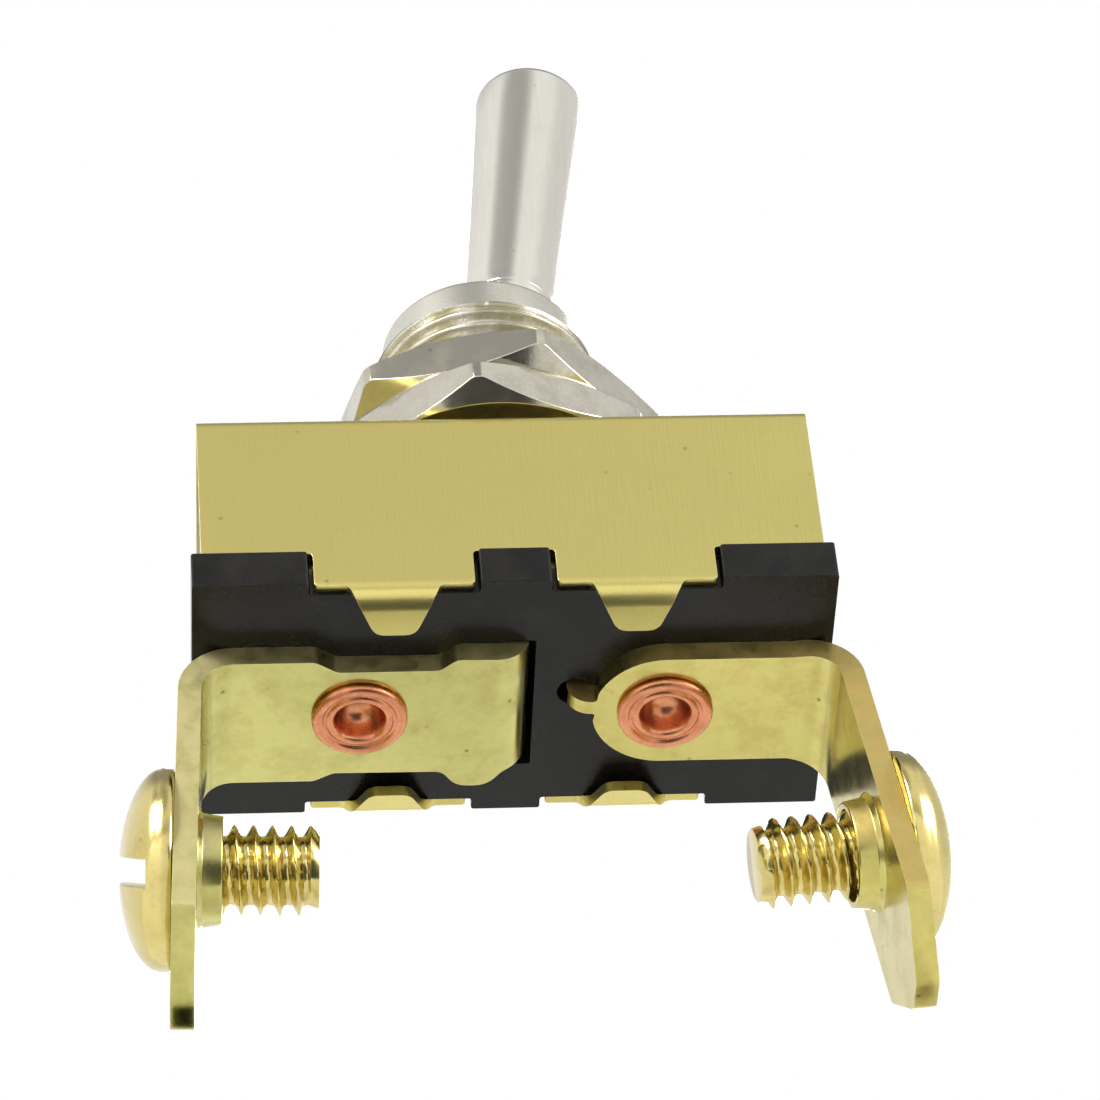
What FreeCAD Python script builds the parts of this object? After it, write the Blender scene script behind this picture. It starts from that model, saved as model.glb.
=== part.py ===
"""Enclosed toggle switch: brass cover on a phenolic base, bat lever, two screw terminals.

Millimetres. +Z runs up the threaded bushing, X runs along the case and the front
long wall faces -Y. The origin is on the bushing axis, where the bushing's thread
comes out of the upper panel nut. The lever is modelled thrown towards +X.
"""
import FreeCAD
import Part
import Sketcher

import math
import os

V = FreeCAD.Vector
doc = FreeCAD.newDocument("toggle_switch")

# ---------------------------------------------------------------- driving sizes
SIZES = {
    # heights of the main planes
    "case_top": -6.40, "base_floor": -17.30, "base_bottom": -19.80, "pivot_z": -3.00,
    "insulator_top": -8.02, "insulator_base": -8.80, "fulcrum_z": -14.90,
    # cover: a brass strap folded over the base
    "cover_long": 33.40, "cover_wide": 17.30, "sheet": 0.60, "cover_bend": 1.00,
    "skirt_in": 2.20, "skirt_out": 10.75, "skirt_low": -19.70, "wall_low": -17.28,
    "tab_mid": 6.48, "tab_root": 4.90, "tab_tip": 2.70, "tab_bend": 0.80, "tab_flat": 1.44,
    "tab_start": -19.40, "base_edge": 0.25,
    # phenolic base
    "base_long": 34.50, "base_wide": 17.70, "block_in": 11.05, "block_mid": 1.90,
    "inner_long": 33.20, "inner_wide": 16.04, "cavity_long": 29.20, "cavity_wide": 12.60,
    # bushing and panel nuts
    "thread_rad": 6.35, "thread_end": 5.64, "nose_rad": 5.70, "nose_top": 7.75,
    "ball_seat": 4.00, "throat_rad": 2.75, "mouth_rad": 4.15, "flange_rad": 7.50,
    "flange_thick": 1.00, "nut_flats": 17.46, "nut_thick": 2.78, "nut_bore": 6.40,
    "nut_bevel": 0.75, "lower_nut_z": -5.66, "upper_nut_z": -2.86,
    "divide_deep": 0.25, "divide_high": 0.60,
    "lower_nut_turn": -7.1, "upper_nut_turn": 14.25,
    # lever
    "lean": 7.45, "lever_tip": 33.10, "tip_rad": 3.22, "bat_low": 10.90, "bat_low_rad": 2.50,
    "neck_top": 10.20, "neck_rad": 2.00, "ball_rad": 3.90, "tail_rad": 2.30,
    "tail_end": 7.50, "spring_bore": 1.45, "bore_top": 1.90, "pin_rad": 0.80,
    "pin_long": 11.20,
    # plunger and its spring, measured down from the pivot along the lever
    "plunger_top": 5.00, "plunger_rad": 1.40, "plunger_step": 8.60, "point_rad": 1.00,
    "point_end": 10.90, "coil_rad": 1.10, "wire_rad": 0.18, "coil_pitch": 0.50,
    "coil_high": 2.62,
    # terminals
    "metal": 1.25, "strip_top": -19.82, "leg_mid": 0.40, "leg_wide": 9.20,
    "inner_bend": 1.75, "common_bend_x": 15.06, "load_bend_x": 15.70,
    "common_splay": 2.5, "load_splay": 6.5, "leg_long": 19.10, "screw_down": 8.90,
    "leg_corner": 3.60, "boss_rad": 2.95, "boss_long": 1.30, "tapped_rad": 2.46,
    "tongue_x": 0.62, "prong_x": 3.43, "prong_y": -0.30, "prong_wide": 0.90,
    "prong_hole": 0.95, "prong_high": 1.60,
    # rivets and contacts
    "rivet_x": 8.27, "shank_rad": 1.80, "rivet_bore": 1.30, "flange_out": 2.60,
    "flange_high": 0.50, "head_rad": 2.40, "head_high": 0.80, "contact_rad": 1.50,
    "fixed_thick": 0.30, "moving_thick": 0.50, "moving_rad": 1.40,
    # contact rocker, in its own frame at the fulcrum
    "rocker_half": 9.30, "rocker_thick": 0.80, "rocker_wide": 5.20, "rocker_rest": 9.70,
    "cradle_left": 1.76, "cradle_right": 1.47, "cradle_x": 2.40, "cradle_foot": 3.40,
    # terminal screws
    "screw_rad": 2.41, "screw_long": 7.60, "screw_head": 5.35, "screw_rim": 0.70,
    "screw_high": 2.90, "slot_wide": 1.50, "slot_deep": 1.50,
    "slot_turn": -45.0,
}

sheet = doc.addObject("Spreadsheet::Sheet", "Sizes")
for row, (alias, value) in enumerate(SIZES.items(), start=1):
    sheet.set("A%d" % row, alias)
    sheet.set("B%d" % row, str(value))
    sheet.setAlias("B%d" % row, alias)
doc.recompute()


class Dim:
    """A number together with the sheet expression it comes from."""

    def __init__(self, value, text):
        self.value = float(value)
        self.text = text

    def __add__(self, other):
        other = dim(other)
        return Dim(self.value + other.value, "(%s + %s)" % (self.text, other.text))

    def __sub__(self, other):
        other = dim(other)
        return Dim(self.value - other.value, "(%s - %s)" % (self.text, other.text))

    def __mul__(self, factor):
        return Dim(self.value * factor, "%s * %.9f" % (self.text, factor))

    def __truediv__(self, factor):
        return self * (1.0 / factor)

    def __neg__(self):
        return self * -1.0

    __radd__ = __add__
    __rmul__ = __mul__


def dim(value):
    """A plain number as a Dim; a Dim unchanged."""
    if isinstance(value, Dim):
        return value
    return Dim(value, "%.9f" % value)


def size(alias):
    """The Dim of a named sheet cell."""
    return Dim(sheet.get(alias), "Sizes." + alias)


# ---------------------------------------------------------------- sketch helpers
def new_body(name):
    body = doc.addObject("PartDesign::Body", name)
    body.Label = name
    return body


def sketch_on(body, role, offset=None):
    """An empty sketch on an origin plane, shifted along the plane's normal."""
    sketch = body.newObject("Sketcher::SketchObject", body.Name + "_sketch")
    plane = [p for p in body.Origin.OriginFeatures if p.Role == role][0]
    sketch.AttachmentSupport = (plane, [""])
    sketch.MapMode = "FlatFace"
    if offset is not None:
        sketch.setExpression(".AttachmentOffset.Base.z", dim(offset).text)
    return sketch


def bind(sketch, kind, refs, value):
    index = sketch.addConstraint(Sketcher.Constraint(kind, *refs, value.value))
    sketch.setExpression("Constraints[%d]" % index, value.text)


def polygon(sketch, corners):
    """A closed outline whose corners are held to the origin by sheet expressions."""
    corners = [(dim(x), dim(y)) for x, y in corners]
    points = [V(x.value, y.value, 0) for x, y in corners]
    first = sketch.GeometryCount
    count = len(points)
    for i in range(count):
        sketch.addGeometry(Part.LineSegment(points[i], points[(i + 1) % count]))
    for i in range(count):
        join = Sketcher.Constraint("Coincident", first + i, 2, first + (i + 1) % count, 1)
        sketch.addConstraint(join)
    for i, (x, y) in enumerate(corners):
        for kind, value, axis in (("DistanceX", x, -2), ("DistanceY", y, -1)):
            if abs(value.value) < 1e-9:
                held = Sketcher.Constraint("PointOnObject", first + i, 1, axis)
                sketch.addConstraint(held)
            else:
                bind(sketch, kind, (-1, 1, first + i, 1), value)


def rectangle(sketch, x0, x1, y0, y1):
    polygon(sketch, [(x0, y0), (x1, y0), (x1, y1), (x0, y1)])


def circle(sketch, x, y, radius):
    x, y, radius = dim(x), dim(y), dim(radius)
    index = sketch.GeometryCount
    sketch.addGeometry(Part.Circle(V(x.value, y.value, 0), V(0, 0, 1), radius.value))
    bind(sketch, "Radius", (index,), radius)
    for kind, value, axis in (("DistanceX", x, -2), ("DistanceY", y, -1)):
        if abs(value.value) < 1e-9:
            sketch.addConstraint(Sketcher.Constraint("PointOnObject", index, 3, axis))
        else:
            bind(sketch, kind, (-1, 1, index, 3), value)


def arc(centre_x, centre_y, radius, start, end, steps=8):
    """Corner points along an arc, angles in degrees from +X."""
    points = []
    for i in range(steps + 1):
        angle = math.radians(start + (end - start) * i / steps)
        points.append((centre_x + radius * math.cos(angle), centre_y + radius * math.sin(angle)))
    return points


def pad(body, sketch, length, both_ways=False):
    feature = body.newObject("PartDesign::Pad", body.Name + "_pad")
    feature.Profile = sketch
    if both_ways:
        feature.SideType = "Symmetric"
    feature.setExpression("Length", dim(length).text)
    sketch.Visibility = False
    return feature


def pocket(body, sketch, length=None, both_ways=False, flip=False):
    """Cuts a sketch to a depth, or right through when no length is given."""
    feature = body.newObject("PartDesign::Pocket", body.Name + "_pocket")
    feature.Profile = sketch
    if length is None:
        feature.Type = "ThroughAll"
    else:
        feature.setExpression("Length", dim(length).text)
    if both_ways:
        feature.SideType = "Symmetric"
    feature.Reversed = flip
    return feature


def revolve(body, sketch):
    feature = body.newObject("PartDesign::Revolution", body.Name + "_revolution")
    feature.Profile = sketch
    feature.ReferenceAxis = (sketch, ["V_Axis"])
    feature.Angle = 360
    return feature


def round_edges(body, radius, wanted, kind="Fillet"):
    """Fillets or chamfers the tip's edges for which wanted(edge) holds."""
    doc.recompute()
    tip = body.Tip
    names = ["Edge%d" % (i + 1) for i, e in enumerate(tip.Shape.Edges) if wanted(e)]
    feature = body.newObject("PartDesign::" + kind, body.Name + "_" + kind.lower())
    feature.Base = (tip, names)
    feature.setExpression("Radius" if kind == "Fillet" else "Size", dim(radius).text)
    return feature


def place(body, x=None, z=None, turn=None):
    """Moves a body in X and Z and turns it about Y, all bound to the sheet."""
    if x is not None:
        body.setExpression(".Placement.Base.x", dim(x).text)
    if z is not None:
        body.setExpression(".Placement.Base.z", dim(z).text)
    if turn is not None:
        body.Placement.Rotation = FreeCAD.Rotation(V(0, 1, 0), 10)
        body.setExpression(".Placement.Rotation.Angle", dim(turn).text)


def boolean(kind, name, base, tool):
    feature = doc.addObject("Part::" + kind, name)
    feature.Base = base
    feature.Tool = tool
    return feature




NODES = {}


# ---------------------------------------------------------------- case
def make_cover():
    """Brass strap folded over the base, with two skirts and four tabs on the long walls."""
    body = new_body("cover")
    half, wide, gauge = size("cover_long") / 2, size("cover_wide") / 2, size("sheet")
    top, low = size("case_top"), size("skirt_low")
    inner = wide - gauge
    sketch = sketch_on(body, "YZ_Plane")
    polygon(sketch, [(-wide, low), (-wide, top), (wide, top), (wide, low),
                     (inner, low), (inner, top - gauge), (-inner, top - gauge), (-inner, low)])
    pad(body, sketch, half * 2, both_ways=True)

    def along_x_at(y, z):
        def wanted(edge):
            mid = edge.CenterOfMass
            return edge.Length > 30 and abs(abs(mid.y) - y) < 0.01 and abs(mid.z - z) < 0.01
        return wanted
    round_edges(body, size("cover_bend"), along_x_at(wide.value, top.value))
    round_edges(body, size("cover_bend") - gauge + 0.05,
                along_x_at(inner.value, (top - gauge).value))

    sketch = sketch_on(body, "XZ_Plane")
    out, near, end = size("skirt_out"), size("skirt_in"), half + 1
    for x0, x1 in ((-end, -out), (-near, near), (out, end)):
        rectangle(sketch, x0, x1, low - 1, size("wall_low"))
    pocket(body, sketch, both_ways=True)

    sketch = sketch_on(body, "XY_Plane")
    circle(sketch, 0, 0, size("thread_rad") + 0.10)
    pocket(body, sketch, size("cover_long"), flip=False, both_ways=True)
    return add_tabs(body)


def add_tabs(body):
    """Adds the four tabs that curl under the base, each tapered to its tip."""
    wide, gauge, bend = size("cover_wide") / 2, size("sheet"), size("tab_bend")
    low, start, mid = size("skirt_low"), size("tab_start"), size("tab_mid")
    cy, sweep = -wide + gauge + bend, 75
    inner = arc(cy, start, bend, 180, 180 + sweep)
    outer = arc(cy, start, bend + gauge, 180, 180 + sweep)
    run = math.radians(90 - sweep)
    dy, dz = size("tab_flat") * math.cos(run), size("tab_flat") * math.sin(run)
    inner.append((inner[-1][0] + dy, inner[-1][1] - dz))
    outer.append((outer[-1][0] + dy, outer[-1][1] - dz))
    profile = [(-wide, start + 0.5)] + outer + inner[::-1] + [(-wide + gauge, start + 0.5)]
    for side in (-1, 1):
        for along in (-1, 1):
            sketch = sketch_on(body, "YZ_Plane", mid * along)
            polygon(sketch, [(y * -side, z) for y, z in profile])
            pad(body, sketch, size("tab_root"), both_ways=True)
    sketch = sketch_on(body, "XY_Plane", low - 0.1)
    root, tip = size("tab_root") / 2, size("tab_tip") / 2
    edge, inward = wide + 0.2, wide - 3.4
    for side in (-1, 1):
        for along in (-1, 1):
            for flank in (-1, 1):
                at = mid * along
                polygon(sketch, [(at + root * flank, edge * side),
                                 (at + (root + 0.3) * flank, edge * side),
                                 (at + (root + 0.3) * flank, inward * side),
                                 (at + tip * flank, inward * side)])
    pocket(body, sketch, 3.0)
    return body


def make_base():
    """Phenolic cup with blocks standing proud at the corners and the middle of each side."""
    body = new_body("base")
    floor, bottom = size("base_floor"), size("base_bottom")
    inner_x, inner_y = size("inner_long") / 2, size("inner_wide") / 2
    sketch = sketch_on(body, "XY_Plane", bottom)
    rectangle(sketch, -inner_x, inner_x, -inner_y, inner_y)
    top = size("case_top") - size("sheet") - 0.04
    pad(body, sketch, top - bottom)

    def long_top_edge(edge):
        mid = edge.CenterOfMass
        return edge.Length > 30 and abs(mid.z - top.value) < 0.01
    round_edges(body, dim(0.6), long_top_edge)

    def long_bottom_edge(edge):
        mid = edge.CenterOfMass
        return edge.Length > 30 and abs(mid.z - bottom.value) < 0.01
    round_edges(body, size("base_edge"), long_bottom_edge)
    sketch = sketch_on(body, "XY_Plane", bottom)
    end, wide = size("base_long") / 2, size("base_wide") / 2
    block, mid = size("block_in"), size("block_mid")
    rectangle(sketch, -end, -block, -wide, wide)
    rectangle(sketch, -mid, mid, -wide, wide)
    rectangle(sketch, block, end, -wide, wide)
    pad(body, sketch, size("wall_low") - 0.04 - bottom)
    sketch = sketch_on(body, "XY_Plane", floor)
    cavity_x, cavity_y = size("cavity_long") / 2, size("cavity_wide") / 2
    rectangle(sketch, -cavity_x, cavity_x, -cavity_y, cavity_y)
    pocket(body, sketch, flip=True)
    sketch = sketch_on(body, "XY_Plane", size("insulator_base") - 0.02)
    rectangle(sketch, -cavity_x, cavity_x, -inner_y - 1, inner_y + 1)
    pocket(body, sketch, flip=True)
    sketch = sketch_on(body, "XY_Plane", bottom)
    for side in (-1, 1):
        circle(sketch, size("rivet_x") * side, 0, size("shank_rad") + 0.05)
    tongue = size("tongue_x")
    rectangle(sketch, -tongue - 0.1, tongue + 0.60, -4.5, 5.3)
    pocket(body, sketch, flip=True)
    sketch = sketch_on(body, "XY_Plane", bottom)
    circle(sketch, size("prong_x"), size("prong_y"), size("prong_hole"))
    pocket(body, sketch, 2.0, flip=True)
    return body


def make_insulator():
    """Fibre plate between the bushing's flange and the contacts."""
    body = new_body("insulator_plate")
    sketch = sketch_on(body, "XY_Plane", size("insulator_base"))
    half_x, half_y = size("cavity_long") / 2 - 0.05, size("inner_wide") / 2
    rectangle(sketch, -half_x, half_x, -half_y, half_y)
    circle(sketch, 0, 0, 4.6)
    pad(body, sketch, size("insulator_top") - size("insulator_base"))
    return body


# ---------------------------------------------------------------- bushing and nuts
def make_bushing():
    """Threaded bushing with a plain nose, a flange under the cover and a ball seat.

    A shallow groove inside the upper nut divides the free thread from the rest.
    """
    body = new_body("bushing")
    pivot, seat, throat = size("pivot_z"), size("ball_seat"), size("throat_rad")
    thread, nose = size("thread_rad"), size("nose_rad")
    plate = size("case_top") - size("sheet") - 0.01
    low = plate - size("flange_thick")
    lift = math.degrees(math.acos(throat.value / seat.value))
    top = size("nose_top")
    profile = [(seat, low)] + arc(dim(0), pivot, seat, 0, lift)
    profile += [(size("mouth_rad"), top), (nose - 0.6, top), (nose, top - 0.6),
                (nose, size("thread_end") + 0.25), (thread - 0.45, size("thread_end")),
                (thread, size("thread_end") - 0.45), (thread, 0),
                (thread - size("divide_deep"), -0.05),
                (thread - size("divide_deep"), -size("divide_high") + 0.05),
                (thread, -size("divide_high")), (thread, plate),
                (size("flange_rad"), plate), (size("flange_rad"), low)]
    sketch = sketch_on(body, "XZ_Plane")
    polygon(sketch, profile)
    revolve(body, sketch)
    sketch = sketch_on(body, "XZ_Plane")
    circle(sketch, 0, pivot, size("pin_rad") + 0.05)
    pocket(body, sketch, both_ways=True)
    return body


def make_nut(name, low, turn):
    """Hexagonal panel nut, bevelled on both faces."""
    body = new_body(name)
    flats, thick = size("nut_flats") / 2, size("nut_thick")
    corner = flats / math.cos(math.pi / 6)
    sketch = sketch_on(body, "XY_Plane", low)
    hexagon = [(corner * math.sin(math.pi / 3 * k), corner * -math.cos(math.pi / 3 * k))
               for k in range(6)]
    polygon(sketch, hexagon)
    circle(sketch, 0, 0, size("nut_bore"))
    pad(body, sketch, thick)
    sketch = sketch_on(body, "XZ_Plane")
    bevel, reach = size("nut_bevel"), corner + 0.5
    rise = bevel * 0.6
    for face, way in ((low, 1), (low + thick, -1)):
        polygon(sketch, [(corner - bevel * 1.6, face - 0.01 * way), (reach, face - 0.01 * way),
                         (reach, face + rise * way * 1.5), (corner, face + rise * way)])
    groove = body.newObject("PartDesign::Groove", name + "_groove")
    groove.Profile = sketch
    groove.ReferenceAxis = (sketch, ["V_Axis"])
    groove.Angle = 360
    body.Placement.Rotation = FreeCAD.Rotation(V(0, 0, 1), 10)
    body.setExpression(".Placement.Rotation.Angle", turn.text)
    return body


# ---------------------------------------------------------------- lever group
def make_lever():
    """Bat lever with its ball, and a hollow tail for the plunger, leaning towards +X."""
    body = new_body("lever")
    ball, neck, tail = size("ball_rad"), size("neck_rad"), size("tail_rad")
    upper = math.degrees(math.acos(neck.value / ball.value))
    lower = -math.degrees(math.acos(tail.value / ball.value))
    tip, tip_rad = size("lever_tip"), size("tip_rad")
    profile = [(0, -size("bore_top")), (size("spring_bore"), -size("bore_top")),
               (size("spring_bore"), -size("tail_end")), (tail, -size("tail_end"))]
    profile += arc(dim(0), dim(0), ball, lower, upper, 16)
    profile += [(neck, size("neck_top")), (size("bat_low_rad"), size("bat_low")),
                (tip_rad, tip - 0.7), (tip_rad - 0.2, tip - 0.2), (tip_rad - 0.7, tip), (0, tip)]
    sketch = sketch_on(body, "XZ_Plane")
    polygon(sketch, profile)
    revolve(body, sketch)
    sketch = sketch_on(body, "XZ_Plane")
    circle(sketch, 0, 0, size("pin_rad") + 0.01)
    pocket(body, sketch, both_ways=True)
    place(body, z=size("pivot_z"), turn=size("lean"))
    return body


def make_pivot_pin():
    """Cross pin through the ball, turning in the bushing wall."""
    body = new_body("pivot_pin")
    sketch = sketch_on(body, "XZ_Plane")
    circle(sketch, 0, 0, size("pin_rad"))
    pad(body, sketch, size("pin_long"), both_ways=True)
    place(body, z=size("pivot_z"))
    return body


def make_plunger():
    """Pin that slides in the lever's tail and presses on the contact rocker."""
    body = new_body("plunger")
    point = size("point_rad")
    profile = [(0, -size("plunger_top")), (0, -size("point_end"))]
    profile += arc(dim(0), -size("point_end") + point, point, -90, 0, 6)[1:]
    profile += [(point, -size("plunger_step") - 0.4), (size("plunger_rad"), -size("plunger_step")),
                (size("plunger_rad"), -size("plunger_top"))]
    sketch = sketch_on(body, "XZ_Plane")
    polygon(sketch, profile)
    revolve(body, sketch)
    place(body, z=size("pivot_z"), turn=size("lean"))
    return body


def make_spring():
    """Coil between the plunger and the end of the lever's bore."""
    helix = doc.addObject("Part::Helix", "spring_path")
    helix.setExpression("Pitch", size("coil_pitch").text)
    helix.setExpression("Height", size("coil_high").text)
    helix.setExpression("Radius", size("coil_rad").text)
    wire = doc.addObject("Part::Circle", "spring_wire")
    wire.setExpression("Radius", size("wire_rad").text)
    wire.setExpression(".Placement.Base.x", size("coil_rad").text)
    wire.Placement.Rotation = FreeCAD.Rotation(V(1, 0, 0), 90)
    coil = doc.addObject("Part::Sweep", "plunger_spring")
    coil.Sections = [wire]
    coil.Spine = (helix, ["Edge1"])
    coil.Solid = True
    coil.Frenet = True
    base = size("plunger_top") - size("wire_rad") - 0.03
    coil.Placement.Rotation = FreeCAD.Rotation(V(0, 1, 0), 10)
    coil.setExpression(".Placement.Rotation.Angle", size("lean").text)
    coil.setExpression(".Placement.Base.x", "-%s * sin(%s * 1 deg)" % (base.text, size("lean").text))
    coil.setExpression(".Placement.Base.z", "%s - %s * cos(%s * 1 deg)"
                       % (size("pivot_z").text, base.text, size("lean").text))
    return coil


# ---------------------------------------------------------------- contacts
def make_rocker():
    """Contact blade that rocks on the fulcrum, with a cradle for the plunger."""
    body = new_body("contact_rocker")
    half, thick, foot = size("rocker_half"), size("rocker_thick"), size("cradle_foot")
    cradle = size("cradle_x")
    sketch = sketch_on(body, "XZ_Plane")
    polygon(sketch, [(-half, 0), (half, 0), (half, thick), (foot, thick),
                     (cradle, size("cradle_right")), (0, thick), (-cradle, size("cradle_left")),
                     (-foot, thick), (-half, thick)])
    pad(body, sketch, size("rocker_wide"), both_ways=True)
    place(body, z=size("fulcrum_z") + 0.02, turn=-size("rocker_rest"))
    return body


def make_moving_contact():
    """Silver button under the load end of the rocker."""
    body = new_body("moving_contact")
    sketch = sketch_on(body, "XY_Plane", -size("moving_thick"))
    circle(sketch, size("rivet_x"), 0, size("moving_rad"))
    pad(body, sketch, size("moving_thick") - 0.005)
    place(body, z=size("fulcrum_z") + 0.02, turn=-size("rocker_rest"))
    return body


def make_fixed_contact():
    """Silver facing on the load rivet's inner head."""
    body = new_body("fixed_contact")
    sketch = sketch_on(body, "XY_Plane", size("base_floor") + size("head_high") + 0.01)
    circle(sketch, size("rivet_x"), 0, size("contact_rad"))
    pad(body, sketch, size("fixed_thick"))
    return body


def make_rivet(name, side):
    """Copper rivet that holds a terminal to the base; its rolled end has a dished hole."""
    body = new_body(name)
    floor, under = size("base_floor") + 0.01, size("strip_top") - size("metal") - 0.01
    bore, shank = size("rivet_bore"), size("shank_rad")
    flange, high = size("flange_out"), size("flange_high")
    profile = [(bore, under - high + 0.25), (bore + 0.35, under - high),
               (flange - 0.3, under - high), (flange, under - high * 0.5), (flange - 0.1, under),
               (shank, under), (shank, floor), (size("head_rad"), floor),
               (size("head_rad"), floor + size("head_high")), (0, floor + size("head_high")),
               (0, under + 1.00), (0.50, under + 1.10), (1.00, under + 0.75),
               (bore, under + 0.15)]
    sketch = sketch_on(body, "XZ_Plane")
    polygon(sketch, profile)
    revolve(body, sketch)
    place(body, x=size("rivet_x") * side)
    return body


# ---------------------------------------------------------------- terminals
def leg_profile(side, bend_x, splay):
    """Strip end, bend and leg in the XZ plane, starting and ending on the strip."""
    top, gauge, inner = size("strip_top"), size("metal"), size("inner_bend")
    outer, mid_z = inner + gauge, top - inner - gauge
    start, tilt = bend_x - 4.0, math.radians(splay.value)
    run = size("leg_long")
    over = arc(bend_x, mid_z, outer, 90, splay.value)
    under = arc(bend_x, mid_z, inner, 90, splay.value)
    over.append((over[-1][0] + run * math.sin(tilt), over[-1][1] - run * math.cos(tilt)))
    under.append((under[-1][0] + run * math.sin(tilt), under[-1][1] - run * math.cos(tilt)))
    outline = [(start, top)] + over + under[::-1] + [(start, top - gauge)]
    return [(x * side, z) for x, z in outline]


def screw_point(side, bend_x, splay, reach):
    """Point on a screw's axis, at a reach outwards from the leg's outer face."""
    tilt = math.radians(splay.value)
    outer = size("inner_bend") + size("metal")
    mid_z = size("strip_top") - outer
    down = size("screw_down")
    x = bend_x + (outer + reach) * math.cos(tilt) + down * math.sin(tilt)
    z = mid_z + (outer + reach) * math.sin(tilt) - down * math.cos(tilt)
    return x * side, z


def on_axis(feature, side, bend_x, splay, reach):
    """Puts a shape's own +Z along the outward screw axis."""
    x, z = screw_point(side, bend_x, splay, reach)
    feature.Placement.Rotation = FreeCAD.Rotation(V(0, 1, 0), 10)
    turn = (dim(90) - splay) * side
    feature.setExpression(".Placement.Rotation.Angle", turn.text)
    feature.setExpression(".Placement.Base.x", x.text)
    feature.setExpression(".Placement.Base.y", size("leg_mid").text)
    feature.setExpression(".Placement.Base.z", z.text)


def finish_terminal(name, body, side, bend_x, splay):
    """Adds the extruded collar to the leg, then drills it and the rivet hole."""
    boss = doc.addObject("Part::Cone", name + "_boss")
    boss.setExpression("Radius1", (size("boss_rad") - 0.1).text)
    boss.setExpression("Radius2", (size("boss_rad") + 0.15).text)
    boss.setExpression("Height", (size("boss_long") + 0.3).text)
    on_axis(boss, side, bend_x, splay, -size("metal") - size("boss_long"))
    hole = doc.addObject("Part::Cylinder", name + "_hole")
    hole.setExpression("Radius", size("tapped_rad").text)
    hole.Height = 6
    on_axis(hole, side, bend_x, splay, -size("metal") - size("boss_long") - 1)
    whole = boolean("Fuse", name + "_with_boss", body, boss)
    return boolean("Cut", name, whole, hole)


def add_leg(body, side, bend_x, splay):
    """Pads the bent leg, trims its two lower corners and rounds them."""
    sketch = sketch_on(body, "XZ_Plane", -size("leg_mid"))
    polygon(sketch, leg_profile(side, bend_x, splay))
    pad(body, sketch, size("leg_wide"), both_ways=True)
    tilt = math.radians(splay.value)
    outer = size("inner_bend") + size("metal")
    tip = size("strip_top") - outer + outer * math.sin(tilt) - size("leg_long") * math.cos(tilt)
    half, mid, cut = size("leg_wide") / 2, size("leg_mid"), size("leg_corner")
    sketch = sketch_on(body, "YZ_Plane", bend_x * side)
    for way in (-1, 1):
        polygon(sketch, [(mid + (half + 1) * way, tip - 1), (mid + (half - cut - 1) * way, tip - 1),
                         (mid + (half + 1) * way, tip + cut + 1)])
    pocket(body, sketch, 8, flip=side > 0)


def make_common_terminal():
    """Terminal whose inner end turns up through the base as the rocker's fulcrum."""
    body = new_body("terminal_common_strip")
    top, gauge, tongue = size("strip_top"), size("metal"), size("tongue_x")
    low, high = size("leg_mid") - size("leg_wide") / 2, size("leg_mid") + size("leg_wide") / 2
    end = -size("common_bend_x")
    sketch = sketch_on(body, "XY_Plane", top - gauge)
    polygon(sketch, [(end, low), (-10.6, low), (-9.6, low + 0.8), (-4.0, low + 0.8),
                     (-3.2, low), (-1.3, low), (tongue, -4.1), (tongue, 4.6),
                     (-1.2, 5.6), (-2.6, 5.6), (-3.6, 4.5), (-9.6, 4.4), (-10.6, high),
                     (end, high)])
    circle(sketch, -size("rivet_x"), 0, size("shank_rad") + 0.05)
    pad(body, sketch, gauge)
    sketch = sketch_on(body, "XZ_Plane")
    ridge = size("fulcrum_z")
    polygon(sketch, [(-tongue, top - gauge), (tongue, top - gauge), (tongue, ridge - 0.9),
                     (0, ridge), (-tongue, ridge - 0.9)])
    pad(body, sketch, 8.2, both_ways=True)
    add_leg(body, -1, size("common_bend_x"), size("common_splay"))
    return finish_terminal("terminal_common", body, -1, size("common_bend_x"),
                           size("common_splay"))


def make_load_terminal():
    """Terminal rounded about its rivet, with a prong that keeps it from turning."""
    body = new_body("terminal_load_strip")
    top, gauge = size("strip_top"), size("metal")
    bend_x, rivet = size("load_bend_x"), size("rivet_x")
    tail, half = size("prong_y"), size("prong_wide") / 2
    left = size("prong_x") - half
    sketch = sketch_on(body, "XY_Plane", top - gauge)
    outline = [(bend_x, -3.90), (rivet - 0.4, -3.90), (6.4, -3.1), (5.2, -1.7),
               (4.6, tail - half), (left, tail - half), (left, tail + half), (4.6, tail + half),
               (4.9, 1.7), (5.7, 3.1), (6.7, 3.65), (rivet - 0.3, 3.95), (bend_x, 3.95)]
    polygon(sketch, outline)
    circle(sketch, rivet, 0, size("shank_rad") + 0.05)
    pad(body, sketch, gauge)
    sketch = sketch_on(body, "XY_Plane", top - gauge)
    rectangle(sketch, left, left + half * 2, tail - half, tail + half)
    pad(body, sketch, gauge + size("prong_high"))
    add_leg(body, 1, bend_x, size("load_splay"))
    sketch = sketch_on(body, "XY_Plane", top - gauge)
    rectangle(sketch, bend_x - 5, bend_x + 0.0, 3.95, 6)
    rectangle(sketch, bend_x - 5, bend_x + 0.0, -6, -3.90)
    pocket(body, sketch, both_ways=True)
    return finish_terminal("terminal_load", body, 1, bend_x, size("load_splay"))


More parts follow.
